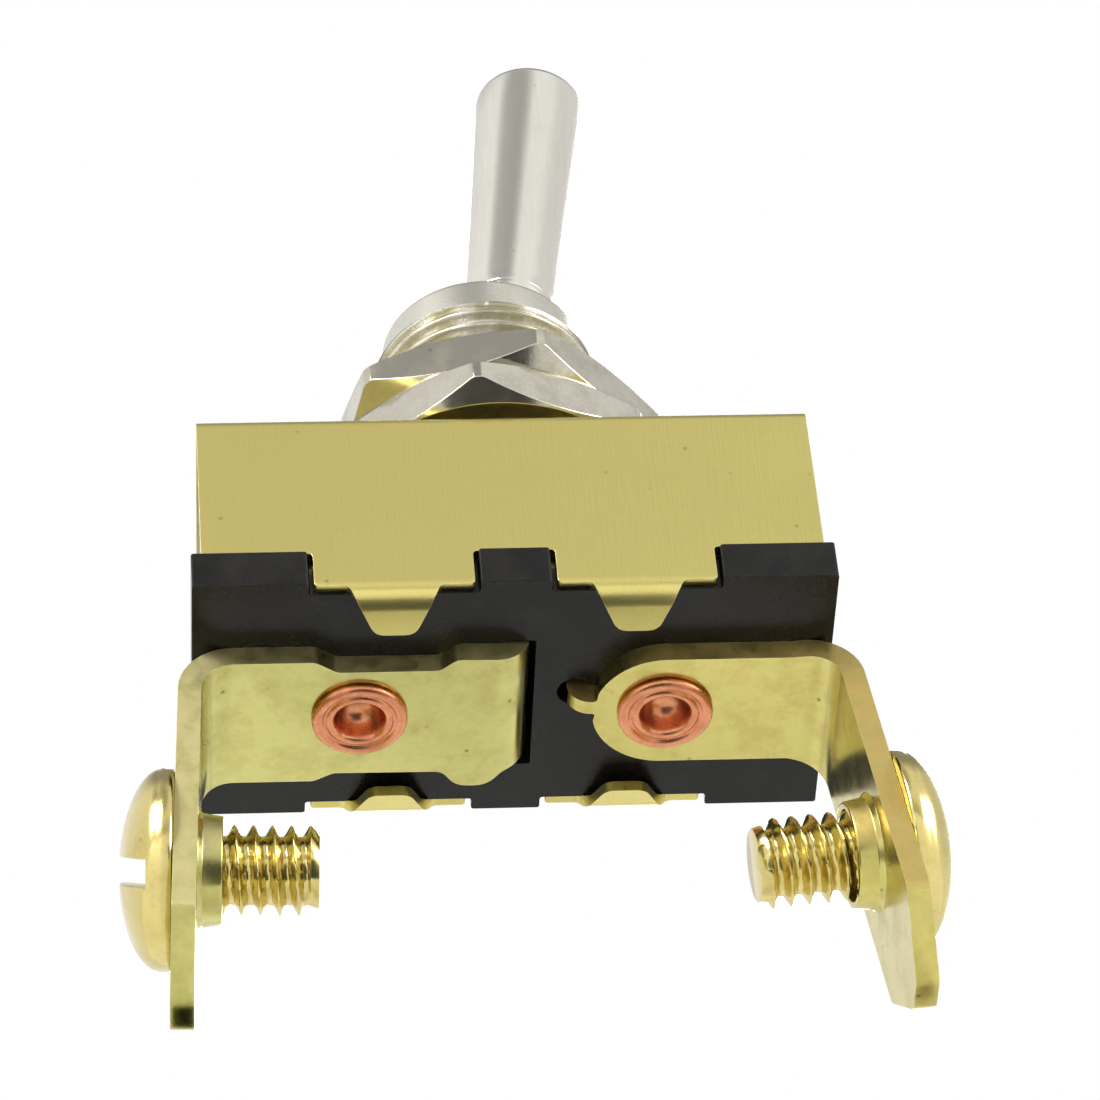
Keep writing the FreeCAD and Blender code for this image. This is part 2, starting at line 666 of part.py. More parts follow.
def make_screw(name, side, bend_x, splay):
    """Slotted binding-head screw; its own +Z points out of the head."""
    body = new_body(name)
    shank, head, rim = size("screw_rad"), size("screw_head"), size("screw_rim")
    high, gap = size("screw_high"), dim(0.02)
    profile = [(0, -size("screw_long")), (shank - 0.5, -size("screw_long")),
               (shank, -size("screw_long") + 0.5), (shank, gap), (head - 0.15, gap), (head, 0.2),
               (head, rim), (head - 0.35, rim + 0.35), (head - 1.15, rim + 0.75),
               (head - 2.3, high - 0.55), (head - 3.6, high - 0.12), (0, high)]
    sketch = sketch_on(body, "XZ_Plane")
    polygon(sketch, profile)
    revolve(body, sketch)
    sketch = sketch_on(body, "XZ_Plane")
    sketch.AttachmentOffset = FreeCAD.Placement(V(0, 0, 0), FreeCAD.Rotation(V(0, 1, 0), 10))
    sketch.setExpression(".AttachmentOffset.Rotation.Angle", size("slot_turn").text)
    half = size("slot_wide") / 2
    rectangle(sketch, -half, half, high - size("slot_deep"), high + 1)
    pocket(body, sketch, both_ways=True)
    on_axis(body, side, bend_x, splay, dim(0))
    return body


# ---------------------------------------------------------------- build and write
NODES["cover"] = make_cover()
NODES["base"] = make_base()
NODES["insulator_plate"] = make_insulator()
NODES["bushing"] = make_bushing()
NODES["panel_nut_lower"] = make_nut("panel_nut_lower", size("lower_nut_z"), size("lower_nut_turn"))
NODES["panel_nut_upper"] = make_nut("panel_nut_upper", size("upper_nut_z"), size("upper_nut_turn"))
NODES["lever"] = make_lever()
NODES["pivot_pin"] = make_pivot_pin()
NODES["plunger"] = make_plunger()
NODES["plunger_spring"] = make_spring()
NODES["contact_rocker"] = make_rocker()
NODES["moving_contact"] = make_moving_contact()
NODES["fixed_contact"] = make_fixed_contact()
NODES["rivet_common"] = make_rivet("rivet_common", -1)
NODES["rivet_load"] = make_rivet("rivet_load", 1)
NODES["terminal_common"] = make_common_terminal()
NODES["terminal_load"] = make_load_terminal()
NODES["screw_common"] = make_screw("screw_common", -1, size("common_bend_x"), size("common_splay"))
NODES["screw_load"] = make_screw("screw_load", 1, size("load_bend_x"), size("load_splay"))

doc.recompute()
for item in doc.Objects:
    if "Invalid" in item.State or "Error" in item.State:
        raise RuntimeError("%s did not compute" % item.Name)

os.makedirs("parts", exist_ok=True)
for name, item in NODES.items():
    shape = item.Shape
    if shape.isNull() or not shape.isValid() or len(shape.Solids) != 1:
        raise RuntimeError("%s is not one valid solid" % name)
    shape.exportStep("parts/%s.step" % name)
    box = shape.BoundBox
    print("%-16s volume %9.2f  x %7.2f %7.2f  y %7.2f %7.2f  z %7.2f %7.2f"
          % (name, shape.Volume, box.XMin, box.XMax, box.YMin, box.YMax, box.ZMin, box.ZMax))
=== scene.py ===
import math

import bmesh
import bpy
from mathutils import Matrix, Vector


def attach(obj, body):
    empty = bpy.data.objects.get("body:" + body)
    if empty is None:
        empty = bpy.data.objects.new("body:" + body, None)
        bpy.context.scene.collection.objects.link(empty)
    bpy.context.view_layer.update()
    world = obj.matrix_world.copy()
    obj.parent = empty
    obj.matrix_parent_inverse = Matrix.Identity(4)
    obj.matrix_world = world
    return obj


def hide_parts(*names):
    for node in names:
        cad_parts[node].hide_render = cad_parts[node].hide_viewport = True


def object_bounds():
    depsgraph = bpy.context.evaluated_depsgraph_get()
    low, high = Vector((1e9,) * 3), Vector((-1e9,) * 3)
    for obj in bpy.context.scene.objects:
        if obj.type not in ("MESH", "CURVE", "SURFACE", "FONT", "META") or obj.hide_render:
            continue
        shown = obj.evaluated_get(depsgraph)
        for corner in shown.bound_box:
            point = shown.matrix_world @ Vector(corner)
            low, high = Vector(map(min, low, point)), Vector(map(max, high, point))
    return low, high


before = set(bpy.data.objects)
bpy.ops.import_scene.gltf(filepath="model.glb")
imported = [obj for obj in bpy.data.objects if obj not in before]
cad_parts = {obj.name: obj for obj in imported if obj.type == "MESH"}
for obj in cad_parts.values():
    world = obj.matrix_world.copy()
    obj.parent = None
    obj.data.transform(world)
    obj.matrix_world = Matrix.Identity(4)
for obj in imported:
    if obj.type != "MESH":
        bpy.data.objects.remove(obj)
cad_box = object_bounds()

mm = 0.001

# ------------------------------------------------------------------ cover
# Brass strap, 0.6 mm thick, folded down over both long sides of the base.
# Each side wall ends in two skirts whose tabs are curled under the base to
# hold the case together; the sheet keeps its rolling grain and fine specks.


def round_corners(points, radius, closed=True, steps=3):
    """Replaces each corner of an outline with a short curve of about this radius.

    A corner may carry a radius of its own as a third number.
    """
    rounded = []
    count = len(points)
    for i, point in enumerate(points):
        if not closed and i in (0, count - 1):
            rounded.append(tuple(point[:2]))
            continue
        here, own = Vector(point[:2]), (point[2] if len(point) > 2 else radius)
        back, on = Vector(points[i - 1][:2]) - here, Vector(points[(i + 1) % count][:2]) - here
        inside = back.angle(on)
        if inside > math.radians(172):
            rounded.append(tuple(point[:2]))
            continue
        reach = min(own / math.tan(inside / 2), 0.45 * back.length, 0.45 * on.length)
        first, last = here + back.normalized() * reach, here + on.normalized() * reach
        for k in range(steps + 1):
            t = k / steps
            spot = first * (1 - t) ** 2 + here * (2 * t * (1 - t)) + last * t ** 2
            rounded.append(tuple(spot))
    return rounded


def ring(x, y, radius, steps=48):
    """Corner points of a round hole."""
    turns = [math.tau * k / steps for k in range(steps)]
    return [(x + radius * math.cos(turn), y + radius * math.sin(turn)) for turn in turns]


def folded(start, heading, bends):
    """Places points of a flat strip on a folded path.

    start and heading are in the plane of the fold; bends holds ("run", length) and
    ("turn", degrees, radius), positive turns being towards the strip's thickness.
    Returns the function and the places along the strip that need a cut.
    """
    pieces, cuts = [], []
    spot, ahead, done = Vector(start), Vector(heading).normalized(), 0.0
    for bend in bends:
        inward = Vector((-ahead.y, ahead.x))
        if bend[0] == "run":
            length = bend[1]
            pieces.append((done, length, spot.copy(), ahead.copy(), inward, None))
            spot = spot + ahead * length
        else:
            turn, radius = math.radians(bend[1]), bend[2]
            length = abs(turn) * radius
            side = 1 if turn > 0 else -1
            pieces.append((done, length, spot + inward * radius * side, ahead.copy(), inward,
                           (turn, radius, side)))
            cuts += [done + length * k / 10 for k in range(11)]
            spun = Matrix.Rotation(turn, 2)
            spot = spot + inward * radius * side - (spun @ inward) * radius * side
            ahead = spun @ ahead
        done += length

    def place(along, depth):
        for begin, length, spot, ahead, inward, turn in pieces:
            if along <= begin + length + 1e-9 or pieces[-1][0] == begin:
                break
        if turn is None:
            return spot + ahead * (along - begin) + inward * depth
        angle, radius, side = turn
        spun = Matrix.Rotation(angle * (along - begin) / length, 2) @ inward
        return spot - spun * (radius - depth * side) * side
    return place, cuts


def smooth_mesh(name, bm, sharp=40):
    """A finished mesh object: outward normals, smooth shading, flats kept flat."""
    bmesh.ops.remove_doubles(bm, verts=bm.verts, dist=0.0005)
    bmesh.ops.recalc_face_normals(bm, faces=bm.faces)
    bmesh.ops.scale(bm, vec=(mm, mm, mm), verts=bm.verts)
    mesh = bpy.data.meshes.new(name)
    bm.to_mesh(mesh)
    bm.free()
    mesh.shade_smooth()
    mesh.set_sharp_from_angle(angle=math.radians(sharp))
    obj = bpy.data.objects.new(name, mesh)
    bpy.context.scene.collection.objects.link(obj)
    return obj


def baked(obj):
    """Turns an object and its modifiers into one plain mesh."""
    depsgraph = bpy.context.evaluated_depsgraph_get()
    depsgraph.update()
    mesh = bpy.data.meshes.new_from_object(obj.evaluated_get(depsgraph), depsgraph=depsgraph)
    mesh.name = obj.name
    obj.modifiers.clear()
    obj.data = mesh
    return obj


def flats_kept(obj):
    """Weights the normals by face area so bevelled edges don't shade the flats."""
    weighted = obj.modifiers.new("flats", "WEIGHTED_NORMAL")
    weighted.keep_sharp = True
    weighted.weight = 80
    return baked(obj)


def cut_plate(bm, loops, low, high, edge):
    """Adds a plate with holes between two depths, its rims broken by a small bevel."""
    flat = bmesh.new()
    edges, rims = [], []
    for loop in loops:
        corners = [flat.verts.new((x, y, 0)) for x, y in loop]
        rims.append(corners)
        edges += [flat.edges.new((corners[k - 1], corners[k])) for k in range(len(corners))]
    bmesh.ops.triangle_fill(flat, use_beauty=True, use_dissolve=False, edges=edges)
    flat.verts.index_update()
    under = [bm.verts.new((v.co.x, v.co.y, low)) for v in flat.verts]
    over = [bm.verts.new((v.co.x, v.co.y, high)) for v in flat.verts]
    for face in flat.faces:
        bm.faces.new([under[v.index] for v in face.verts])
        bm.faces.new([over[v.index] for v in reversed(face.verts)])
    broken = []
    for corners in rims:
        for k in range(len(corners)):
            a, b = corners[k - 1].index, corners[k].index
            bm.faces.new((under[a], over[a], over[b], under[b]))
            broken += [(under[a], under[b]), (over[a], over[b])]
    flat.free()
    rim_edges = [bm.edges.get(pair) for pair in broken]
    bmesh.ops.recalc_face_normals(bm, faces=bm.faces)
    bmesh.ops.bevel(bm, geom=rim_edges, offset=edge, offset_type="OFFSET", segments=2,
                    profile=0.5, affect="EDGES", clamp_overlap=True)


def sheet_metal(name, loops, gauge, fold, across, edge=0.07):
    """A cut and folded sheet: loops are flat outlines of (across, along) points."""
    place, cuts = fold
    bm = bmesh.new()
    cut_plate(bm, loops, 0.0, gauge, edge)
    for along in cuts:
        bmesh.ops.bisect_plane(bm, geom=bm.verts[:] + bm.edges[:] + bm.faces[:], dist=0.0001,
                               plane_co=(0, along, 0), plane_no=(0, 1, 0))
    for vert in bm.verts:
        side, along, depth = vert.co
        vert.co = across(side, place(abs(along), depth), -1 if along < 0 else 1)
    return smooth_mesh(name, bm, 20)


def node_of(tree, kind, operation=None, **inputs):
    """A node whose inputs, named or numbered, are set, or linked where given a socket."""
    node = tree.nodes.new(kind)
    if operation is not None:
        node.operation = operation
    for key, value in inputs.items():
        socket = node.inputs[int(key[1:]) if key[0] == "_" else key.replace("_", " ")]
        if isinstance(value, bpy.types.NodeSocket):
            tree.links.new(value, socket)
        else:
            socket.default_value = value
    return node


def mapped(tree, value, from_min, from_max, to_min=0.0, to_max=1.0):
    """A value carried from one range to another and held inside it."""
    return node_of(tree, "ShaderNodeMapRange", Value=value, From_Min=from_min, From_Max=from_max,
                   To_Min=to_min, To_Max=to_max).outputs["Result"]


def product(tree, first, second):
    """Two values multiplied."""
    return node_of(tree, "ShaderNodeMath", "MULTIPLY", _0=first, _1=second).outputs[0]


def mixed(tree, share, under, over):
    """One colour laid over another by a share; each is a socket or a colour."""
    mix = tree.nodes.new("ShaderNodeMix")
    mix.data_type = "RGBA"
    for label, value in (("Factor", share), ("A", under), ("B", over)):
        if isinstance(value, bpy.types.NodeSocket):
            tree.links.new(value, mix.inputs[label])
        else:
            mix.inputs[label].default_value = (*value, 1)
    return mix.outputs["Result"]


def new_group(name, sockets_in, sockets_out, kind="ShaderNodeTree"):
    """A node tree with named sockets, returned with its input and output nodes."""
    group = bpy.data.node_groups.new(name, kind)
    for label, socket_type, default in sockets_in:
        socket = group.interface.new_socket(label, in_out="INPUT", socket_type=socket_type)
        if default is not None:
            socket.default_value = default
    for label, socket_type in sockets_out:
        group.interface.new_socket(label, in_out="OUTPUT", socket_type=socket_type)
    return group, group.nodes.new("NodeGroupInput"), group.nodes.new("NodeGroupOutput")


FLOAT, COLOUR, VECTOR = "NodeSocketFloat", "NodeSocketColor", "NodeSocketVector"

# Drawn or rolled metal: long fine streaks over broader clouds of tarnish.
grained, g_in, g_out = new_group(
    "metal_grain",
    [("Coordinates", VECTOR, None), ("Clean", COLOUR, (0.8, 0.8, 0.8, 1)),
     ("Tarnished", COLOUR, (0.4, 0.4, 0.4, 1)), ("Speck", COLOUR, (0.1, 0.08, 0.05, 1)),
     ("Streaks", FLOAT, 9000.0), ("Clouds", FLOAT, 160.0), ("Tarnish", FLOAT, 0.3),
     ("Specks", FLOAT, 0.3), ("Smooth", FLOAT, 0.25), ("Rough", FLOAT, 0.4)],
    [("Color", COLOUR), ("Roughness", FLOAT), ("Height", FLOAT)])
given = g_in.outputs
bare = grained.nodes.new("ShaderNodeTexCoord").outputs["Object"]
streak = node_of(grained, "ShaderNodeTexNoise", Detail=4.0, Roughness=0.6,
                 Scale=given["Streaks"], Vector=given["Coordinates"]).outputs["Fac"]
cloud = node_of(grained, "ShaderNodeTexNoise", Detail=5.0, Roughness=0.62,
                Scale=given["Clouds"], Vector=bare).outputs["Fac"]
fleck = node_of(grained, "ShaderNodeTexVoronoi", Scale=900.0, Vector=bare)
both = node_of(grained, "ShaderNodeMath", "ADD",
               _0=product(grained, mapped(grained, cloud, 0.42, 0.72), given["Tarnish"]),
               _1=mapped(grained, streak, 0.3, 0.7, -0.14, 0.14))
both.use_clamp = True
tinted = mixed(grained, both.outputs[0], given["Clean"], given["Tarnished"])
chance = node_of(grained, "ShaderNodeSeparateColor", Color=fleck.outputs["Color"])
rare = node_of(grained, "ShaderNodeMath", "GREATER_THAN", _0=chance.outputs["Red"], _1=0.78)
near = mapped(grained, fleck.outputs["Distance"], 0.06, 0.16, 1.0, 0.0)
spotted = product(grained, near, rare.outputs[0])
flecked = mixed(grained, product(grained, spotted, given["Specks"]), tinted, given["Speck"])
tall = node_of(grained, "ShaderNodeMath", "SUBTRACT", _0=streak, _1=spotted)
grained.links.new(flecked, g_out.inputs["Color"])
grained.links.new(mapped(grained, both.outputs[0], 0.0, 1.0, given["Smooth"], given["Rough"]),
                  g_out.inputs["Roughness"])
grained.links.new(tall.outputs[0], g_out.inputs["Height"])

# Handling polishes corners: a mask of the convex edges.
worn, w_in, w_out = new_group("edge_wear", [("Width", FLOAT, 0.00015), ("Breaks", FLOAT, 1500.0)],
                              [("Mask", FLOAT)])
blunt = node_of(worn, "ShaderNodeBevel", Radius=w_in.outputs["Width"])
blunt.samples = 4
actual = worn.nodes.new("ShaderNodeNewGeometry")
facing = node_of(worn, "ShaderNodeVectorMath", "DOT_PRODUCT", _0=blunt.outputs["Normal"],
                 _1=actual.outputs["Normal"])
place_on = worn.nodes.new("ShaderNodeTexCoord")
broken_up = node_of(worn, "ShaderNodeTexNoise", Detail=3.0, Vector=place_on.outputs["Object"],
                    Scale=w_in.outputs["Breaks"])
mask = product(worn, mapped(worn, facing.outputs["Value"], 0.9, 0.995, 1.0, 0.0),
               mapped(worn, broken_up.outputs["Fac"], 0.38, 0.6))
worn.links.new(mask, w_out.inputs["Mask"])
edge_width = 0.00012
every_way = (1.0, 1.0, 1.0)


def dug(tree, height, depth, strength, shader):
    """Turns a height into the bump of a shader's normal."""
    raised = node_of(tree, "ShaderNodeBump", Strength=strength, Distance=depth, Height=height)
    tree.links.new(raised.outputs["Normal"], shader.inputs["Normal"])


def metal(name, clean, tarnished, speck, worn_colour, stretch, grain, wear=0.6, bump=0.1):
    """A metal: grain group for colour and roughness, worn edges mixed over it."""
    material = bpy.data.materials.new(name)
    material.use_nodes = True
    tree = material.node_tree
    shader = tree.nodes["Principled BSDF"]
    shader.inputs["Metallic"].default_value = 1.0
    where = tree.nodes.new("ShaderNodeTexCoord")
    mapping = node_of(tree, "ShaderNodeMapping", Scale=stretch, Vector=where.outputs["Object"])
    surface = tree.nodes.new("ShaderNodeGroup")
    surface.node_tree = grained
    for label, colour in (("Clean", clean), ("Tarnished", tarnished), ("Speck", speck)):
        surface.inputs[label].default_value = (*colour, 1)
    for label, amount in grain.items():
        surface.inputs[label].default_value = amount
    tree.links.new(mapping.outputs["Vector"], surface.inputs["Coordinates"])
    edges = tree.nodes.new("ShaderNodeGroup")
    edges.node_tree = worn
    edges.inputs["Width"].default_value = edge_width
    polished = mixed(tree, product(tree, edges.outputs["Mask"], wear), surface.outputs["Color"],
                     worn_colour)
    tree.links.new(polished, shader.inputs["Base Color"])
    tree.links.new(surface.outputs["Roughness"], shader.inputs["Roughness"])
    dug(tree, surface.outputs["Height"], 0.00003, bump, shader)
    return material


case_top, wall_low, skirt_low = -6.40, -17.28, -19.70
cover_half, cover_side, cover_gauge, cover_bend = 16.70, 8.65, 0.60, 1.00
skirt_in, skirt_out, tab_mid, tab_root, tab_tip = 2.20, 10.75, 6.48, 2.45, 1.08
tab_start, tab_bend, tab_flat, tab_curl = -19.40, 1.40, 1.44, 75
root_round, tip_round, cover_hole = 0.5, 0.85, 6.45

cover_fold = folded((0, case_top), (-1, 0), [
    ("run", cover_side - cover_bend), ("turn", 90, cover_bend),
    ("run", case_top - cover_bend - tab_start), ("turn", tab_curl, tab_bend), ("run", tab_flat)])
top_run = cover_side - cover_bend + math.pi / 2 * cover_bend
wall_end = top_run + case_top - cover_bend - wall_low
skirt_hem = top_run + case_top - cover_bend - skirt_low
tab_end = skirt_hem + skirt_low - tab_start + math.radians(tab_curl) * tab_bend + tab_flat
half_edge = [(-cover_half, wall_end)]
for middle in (-tab_mid, tab_mid):
    left, right = sorted((middle / tab_mid * skirt_out, middle / tab_mid * skirt_in))
    half_edge += [(left, wall_end), (left, skirt_hem), (middle - tab_root, skirt_hem, root_round),
                  (middle - tab_tip, tab_end, tip_round), (middle + tab_tip, tab_end, tip_round),
                  (middle + tab_root, skirt_hem, root_round), (right, skirt_hem),
                  (right, wall_end)]
half_edge.append((cover_half, wall_end))
other_edge = [(stop[0], -stop[1], *stop[2:]) for stop in reversed(half_edge)]
cover_outline = round_corners(half_edge + other_edge, 0.25, steps=5)
place_cover, cover_cuts = cover_fold
cover = sheet_metal(
    "cover_strap", [cover_outline, ring(0, 0, cover_hole, 96)], cover_gauge,
    (place_cover, cover_cuts + [-u for u in cover_cuts]),
    lambda side, spot, way: (side, spot.x * way, spot.y))
flats_kept(cover)
cover_brass = metal(
    "satin_cover_brass", (0.69, 0.60, 0.205), (0.48, 0.405, 0.135), (0.10, 0.08, 0.03),
    (0.85, 0.78, 0.45), (1.0, 1.0, 0.03),
    {"Streaks": 9000.0, "Clouds": 130.0, "Tarnish": 0.45, "Specks": 0.35, "Smooth": 0.30,
     "Rough": 0.46}, bump=0.25)
cover.data.materials.append(cover_brass)
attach(cover, "case")
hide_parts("cover")

# ------------------------------------------------------------------ base
# Cup of black moulded phenolic. Its floor stands proud of the cover at the four
# corners and in the middle of each long side, and is pierced for the two rivets,
# for the common terminal's upturned end and for the load terminal's prong.

base_bottom, base_floor, base_ledge, base_top = -19.80, -17.30, -8.82, -7.04
block_out, under_wall, block_in, block_mid, floor_half = 8.85, 8.02, 11.05, 1.90, 17.25
cup_half, cup_inner, cup_deep, end_wall = 16.6, 14.6, 6.3, 7.95
rivet_x, rivet_hole, tongue_half, leg_mid = 8.27, 1.85, 0.62, 0.40
slot_front, slot_back, prong_hole = -4.3, 5.3, (3.43, -0.30, 0.95)
seam = 0.001  # keeps stacked parts of the moulding from being welded together


def rectangle(x_low, x_high, y_low, y_high):
    """Corner points of a rectangle."""
    return [(x_low, y_low), (x_high, y_low), (x_high, y_high), (x_low, y_high)]


floor_outline = []
for way in (-1, 1):
    stops = [(-floor_half, block_out), (-block_in, block_out), (-block_in, under_wall),
             (-block_mid, under_wall), (-block_mid, block_out), (block_mid, block_out),
             (block_mid, under_wall), (block_in, under_wall), (block_in, block_out),
             (floor_half, block_out)]
    floor_outline += [(-x * way, -y * way) for x, y in stops]
bm = bmesh.new()
tongue_slot = rectangle(-tongue_half - 0.1, tongue_half + 0.6, slot_front, slot_back)
cut_plate(bm, [round_corners(floor_outline, 0.18),
               ring(-rivet_x, 0, rivet_hole), ring(rivet_x, 0, rivet_hole),
               round_corners(tongue_slot, 0.15), ring(*prong_hole, 32)],
          base_bottom, base_floor, 0.22)
cut_plate(bm, [round_corners(rectangle(-cup_half, cup_half, -under_wall, under_wall), 0.1),
               rectangle(-cup_inner, cup_inner, -cup_deep, cup_deep)],
          base_floor + seam, base_ledge, 0.08)
for way in (-1, 1):
    wall = rectangle(cup_inner * way, cup_half * way, -end_wall, end_wall)
    cut_plate(bm, [round_corners(wall[::way], 0.1)], base_ledge + seam, base_top, 0.4)
base = flats_kept(smooth_mesh("phenolic_base", bm, 20))


def moulding(name, colour, dull, gloss, matte, grit):
    """Moulded plastic or fibre: mottled gloss, fine grit and rubbed edges."""
    material = bpy.data.materials.new(name)
    material.use_nodes = True
    tree = material.node_tree
    shader = tree.nodes["Principled BSDF"]
    where = tree.nodes.new("ShaderNodeTexCoord").outputs["Object"]
    mottle = node_of(tree, "ShaderNodeTexNoise", Scale=350.0, Detail=6.0, Roughness=0.65,
                     Vector=where).outputs["Fac"]
    grains = node_of(tree, "ShaderNodeTexNoise", Scale=6000.0, Detail=3.0, Vector=where)
    edges = tree.nodes.new("ShaderNodeGroup")
    edges.node_tree = worn
    rubbed = mixed(tree, product(tree, edges.outputs["Mask"], 0.5),
                   mixed(tree, mapped(tree, mottle, 0.4, 0.68), colour, dull),
                   [c * 2.0 + 0.01 for c in dull])
    tree.links.new(rubbed, shader.inputs["Base Color"])
    tree.links.new(mapped(tree, mottle, 0.35, 0.7, gloss, matte), shader.inputs["Roughness"])
    dug(tree, grains.outputs["Fac"], 0.00004, grit, shader)
    return material


phenolic = moulding("black_phenolic", (0.0045, 0.0042, 0.0038), (0.0085, 0.0078, 0.0068), 0.20,
                    0.34, 0.18)
phenolic.node_tree.nodes["Principled BSDF"].inputs["Specular IOR Level"].default_value = 0.25
base.data.materials.append(phenolic)
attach(base, "case")
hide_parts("base")

# ------------------------------------------------------------------ insulator plate
# Sheet of vulcanised fibre laid on the base under the bushing's flange, so that
# no current reaches the cover. It is plain, flat and hidden once the case is shut.

fibre = moulding("grey_fibre", (0.20, 0.16, 0.13), (0.27, 0.22, 0.18), 0.6, 0.85, 0.5)


def dress(node, material):
    """Gives a CAD piece that keeps its shape its own finish."""
    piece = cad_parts[node]
    piece.data.materials.clear()
    piece.data.materials.append(material)


dress("insulator_plate", fibre)

# ------------------------------------------------------------------ bushing
# Nickel-plated brass, turned in one piece: a flange under the cover, a 24 turns
# per inch thread for the panel nuts and a plain nose with a broken edge. The bore
# opens towards the top so that the lever can lean.


def lathe(bm, profile, steps=96):
    """Turns a closed profile of (radius, height) points about Z."""
    rings = []
    for radius, height in profile:
        if radius < 1e-6:
            rings.append([bm.verts.new((0, 0, height))] * steps)
        else:
            rings.append([bm.verts.new((radius * math.cos(math.tau * k / steps),
                                        radius * math.sin(math.tau * k / steps), height))
                          for k in range(steps)])
    for i, low in enumerate(rings):
        high = rings[(i + 1) % len(rings)]
        for k in range(steps):
            corners = [low[k - 1], low[k], high[k], high[k - 1]]
            corners = [v for n, v in enumerate(corners) if v not in corners[:n]]
            if len(corners) > 2:
                bm.faces.new(corners)


def rows(profile, radius, step):
    """Splits the straight run of a profile at this radius into rows of equal height."""
    split = []
    for k, point in enumerate(profile):
        split.append(point)
        after = profile[(k + 1) % len(profile)]
        on_run = abs(point[0] - radius) < 1e-6 and abs(after[0] - radius) < 1e-6
        if on_run and abs(after[1] - point[1]) > step * 1.5:
            count = int(abs(after[1] - point[1]) / step)
            split += [(radius, point[1] + (after[1] - point[1]) * n / count)
                      for n in range(1, count)]
    return split


GEOMETRY, MATERIAL, OBJECT = "NodeSocketGeometry", "NodeSocketMaterial", "NodeSocketObject"


def finish_tree(tree, geometry, given, result):
    """Ends a Geometry Nodes tree: instances made real, then its material set."""
    real = node_of(tree, "GeometryNodeRealizeInstances", _0=geometry)
    dressed = node_of(tree, "GeometryNodeSetMaterial", Geometry=real.outputs[0],
                      Material=given.outputs["Material"])
    tree.links.new(dressed.outputs[0], result.inputs[0])
    return tree


def thread_tree():
    """Geometry Nodes tree that cuts a helical groove into a turned cylinder."""
    crest, steepness, skin = 0.05, 1.45, 0.00002
    tree, given, result = new_group(
        "cut_thread",
        [("Geometry", GEOMETRY, None), ("Major Radius", FLOAT, 0.006), ("Depth", FLOAT, 0.0005),
         ("Pitch", FLOAT, 0.001), ("Thread Start", FLOAT, 0.0), ("Thread End", FLOAT, 0.01),
         ("Run Out", FLOAT, 0.0005), ("Material", MATERIAL, None)],
        [("Geometry", GEOMETRY)], "GeometryNodeTree")
    size = given.outputs

    def worked(operation, first, second=0.5, clamp=False):
        node = node_of(tree, "ShaderNodeMath", operation, _0=first, _1=second)
        node.use_clamp = clamp
        return node.outputs[0]

    at = tree.nodes.new("GeometryNodeInputPosition").outputs[0]
    x, y, z = node_of(tree, "ShaderNodeSeparateXYZ", _0=at).outputs
    radius = worked("SQRT", worked("ADD", worked("MULTIPLY", x, x), worked("MULTIPLY", y, y)))
    turn = worked("DIVIDE", worked("ARCTAN2", y, x), math.tau)
    climb = worked("SUBTRACT", worked("DIVIDE", z, size["Pitch"]), turn)
    flank = worked("ABSOLUTE", worked("SUBTRACT", worked("MULTIPLY", worked("FRACT", climb), 2.0),
                                      1.0))
    groove = worked("MULTIPLY", worked("SUBTRACT", flank, crest), steepness, clamp=True)
    enter = worked("DIVIDE", worked("SUBTRACT", z, size["Thread Start"]), size["Run Out"],
                   clamp=True)
    leave = worked("DIVIDE", worked("SUBTRACT", size["Thread End"], z), size["Run Out"],
                   clamp=True)
    outside = worked("GREATER_THAN", radius, worked("SUBTRACT", size["Major Radius"], skin))
    deep = worked("MULTIPLY", worked("MULTIPLY", groove, size["Depth"]),
                  worked("MULTIPLY", outside, worked("MULTIPLY", enter, leave)))
    shrink = worked("DIVIDE", worked("MULTIPLY", deep, -1.0), worked("ADD", radius, 1e-9))
    inward = node_of(tree, "ShaderNodeCombineXYZ", _0=worked("MULTIPLY", x, shrink),
                     _1=worked("MULTIPLY", y, shrink))
    cut = node_of(tree, "GeometryNodeSetPosition", Geometry=size["Geometry"],
                  Offset=inward.outputs[0])
    return finish_tree(tree, cut.outputs[0], given, result)


def run_tree(obj, tree, **inputs):
    """Runs a Geometry Nodes tree on an object and keeps only the mesh it makes."""
    modifier = obj.modifiers.new(tree.name, "NODES")
    modifier.node_group = tree
    sockets = {item.name: item.identifier for item in tree.interface.items_tree
               if item.in_out == "INPUT"}
    for label, value in inputs.items():
        modifier[sockets[label.replace("_", " ")]] = value
    return baked(obj)


cut_thread = thread_tree()
# The bright specks given to this nickel are painted glints.
worn_nickel = metal(
    "nickel_rubbed_thread", (0.66, 0.635, 0.56), (0.36, 0.33, 0.23), (0.85, 0.82, 0.70),
    (0.66, 0.63, 0.53), every_way,
    {"Streaks": 5000.0, "Clouds": 260.0, "Specks": 0.8, "Smooth": 0.26, "Rough": 0.40},
    wear=0.5, bump=0.15)

# The Tarnish input is set high along the thread and low on the plain nose above it, so the thread
# is darker and tanner.
tree = worn_nickel.node_tree
height = node_of(tree, "ShaderNodeSeparateXYZ",
                 _0=tree.nodes["Texture Coordinate"].outputs["Object"])
rubbed = mapped(tree, height.outputs["Z"], 0.0053, 0.0059, 2.2, 0.35)
tree.links.new(rubbed, tree.nodes["Group"].inputs["Tarnish"])

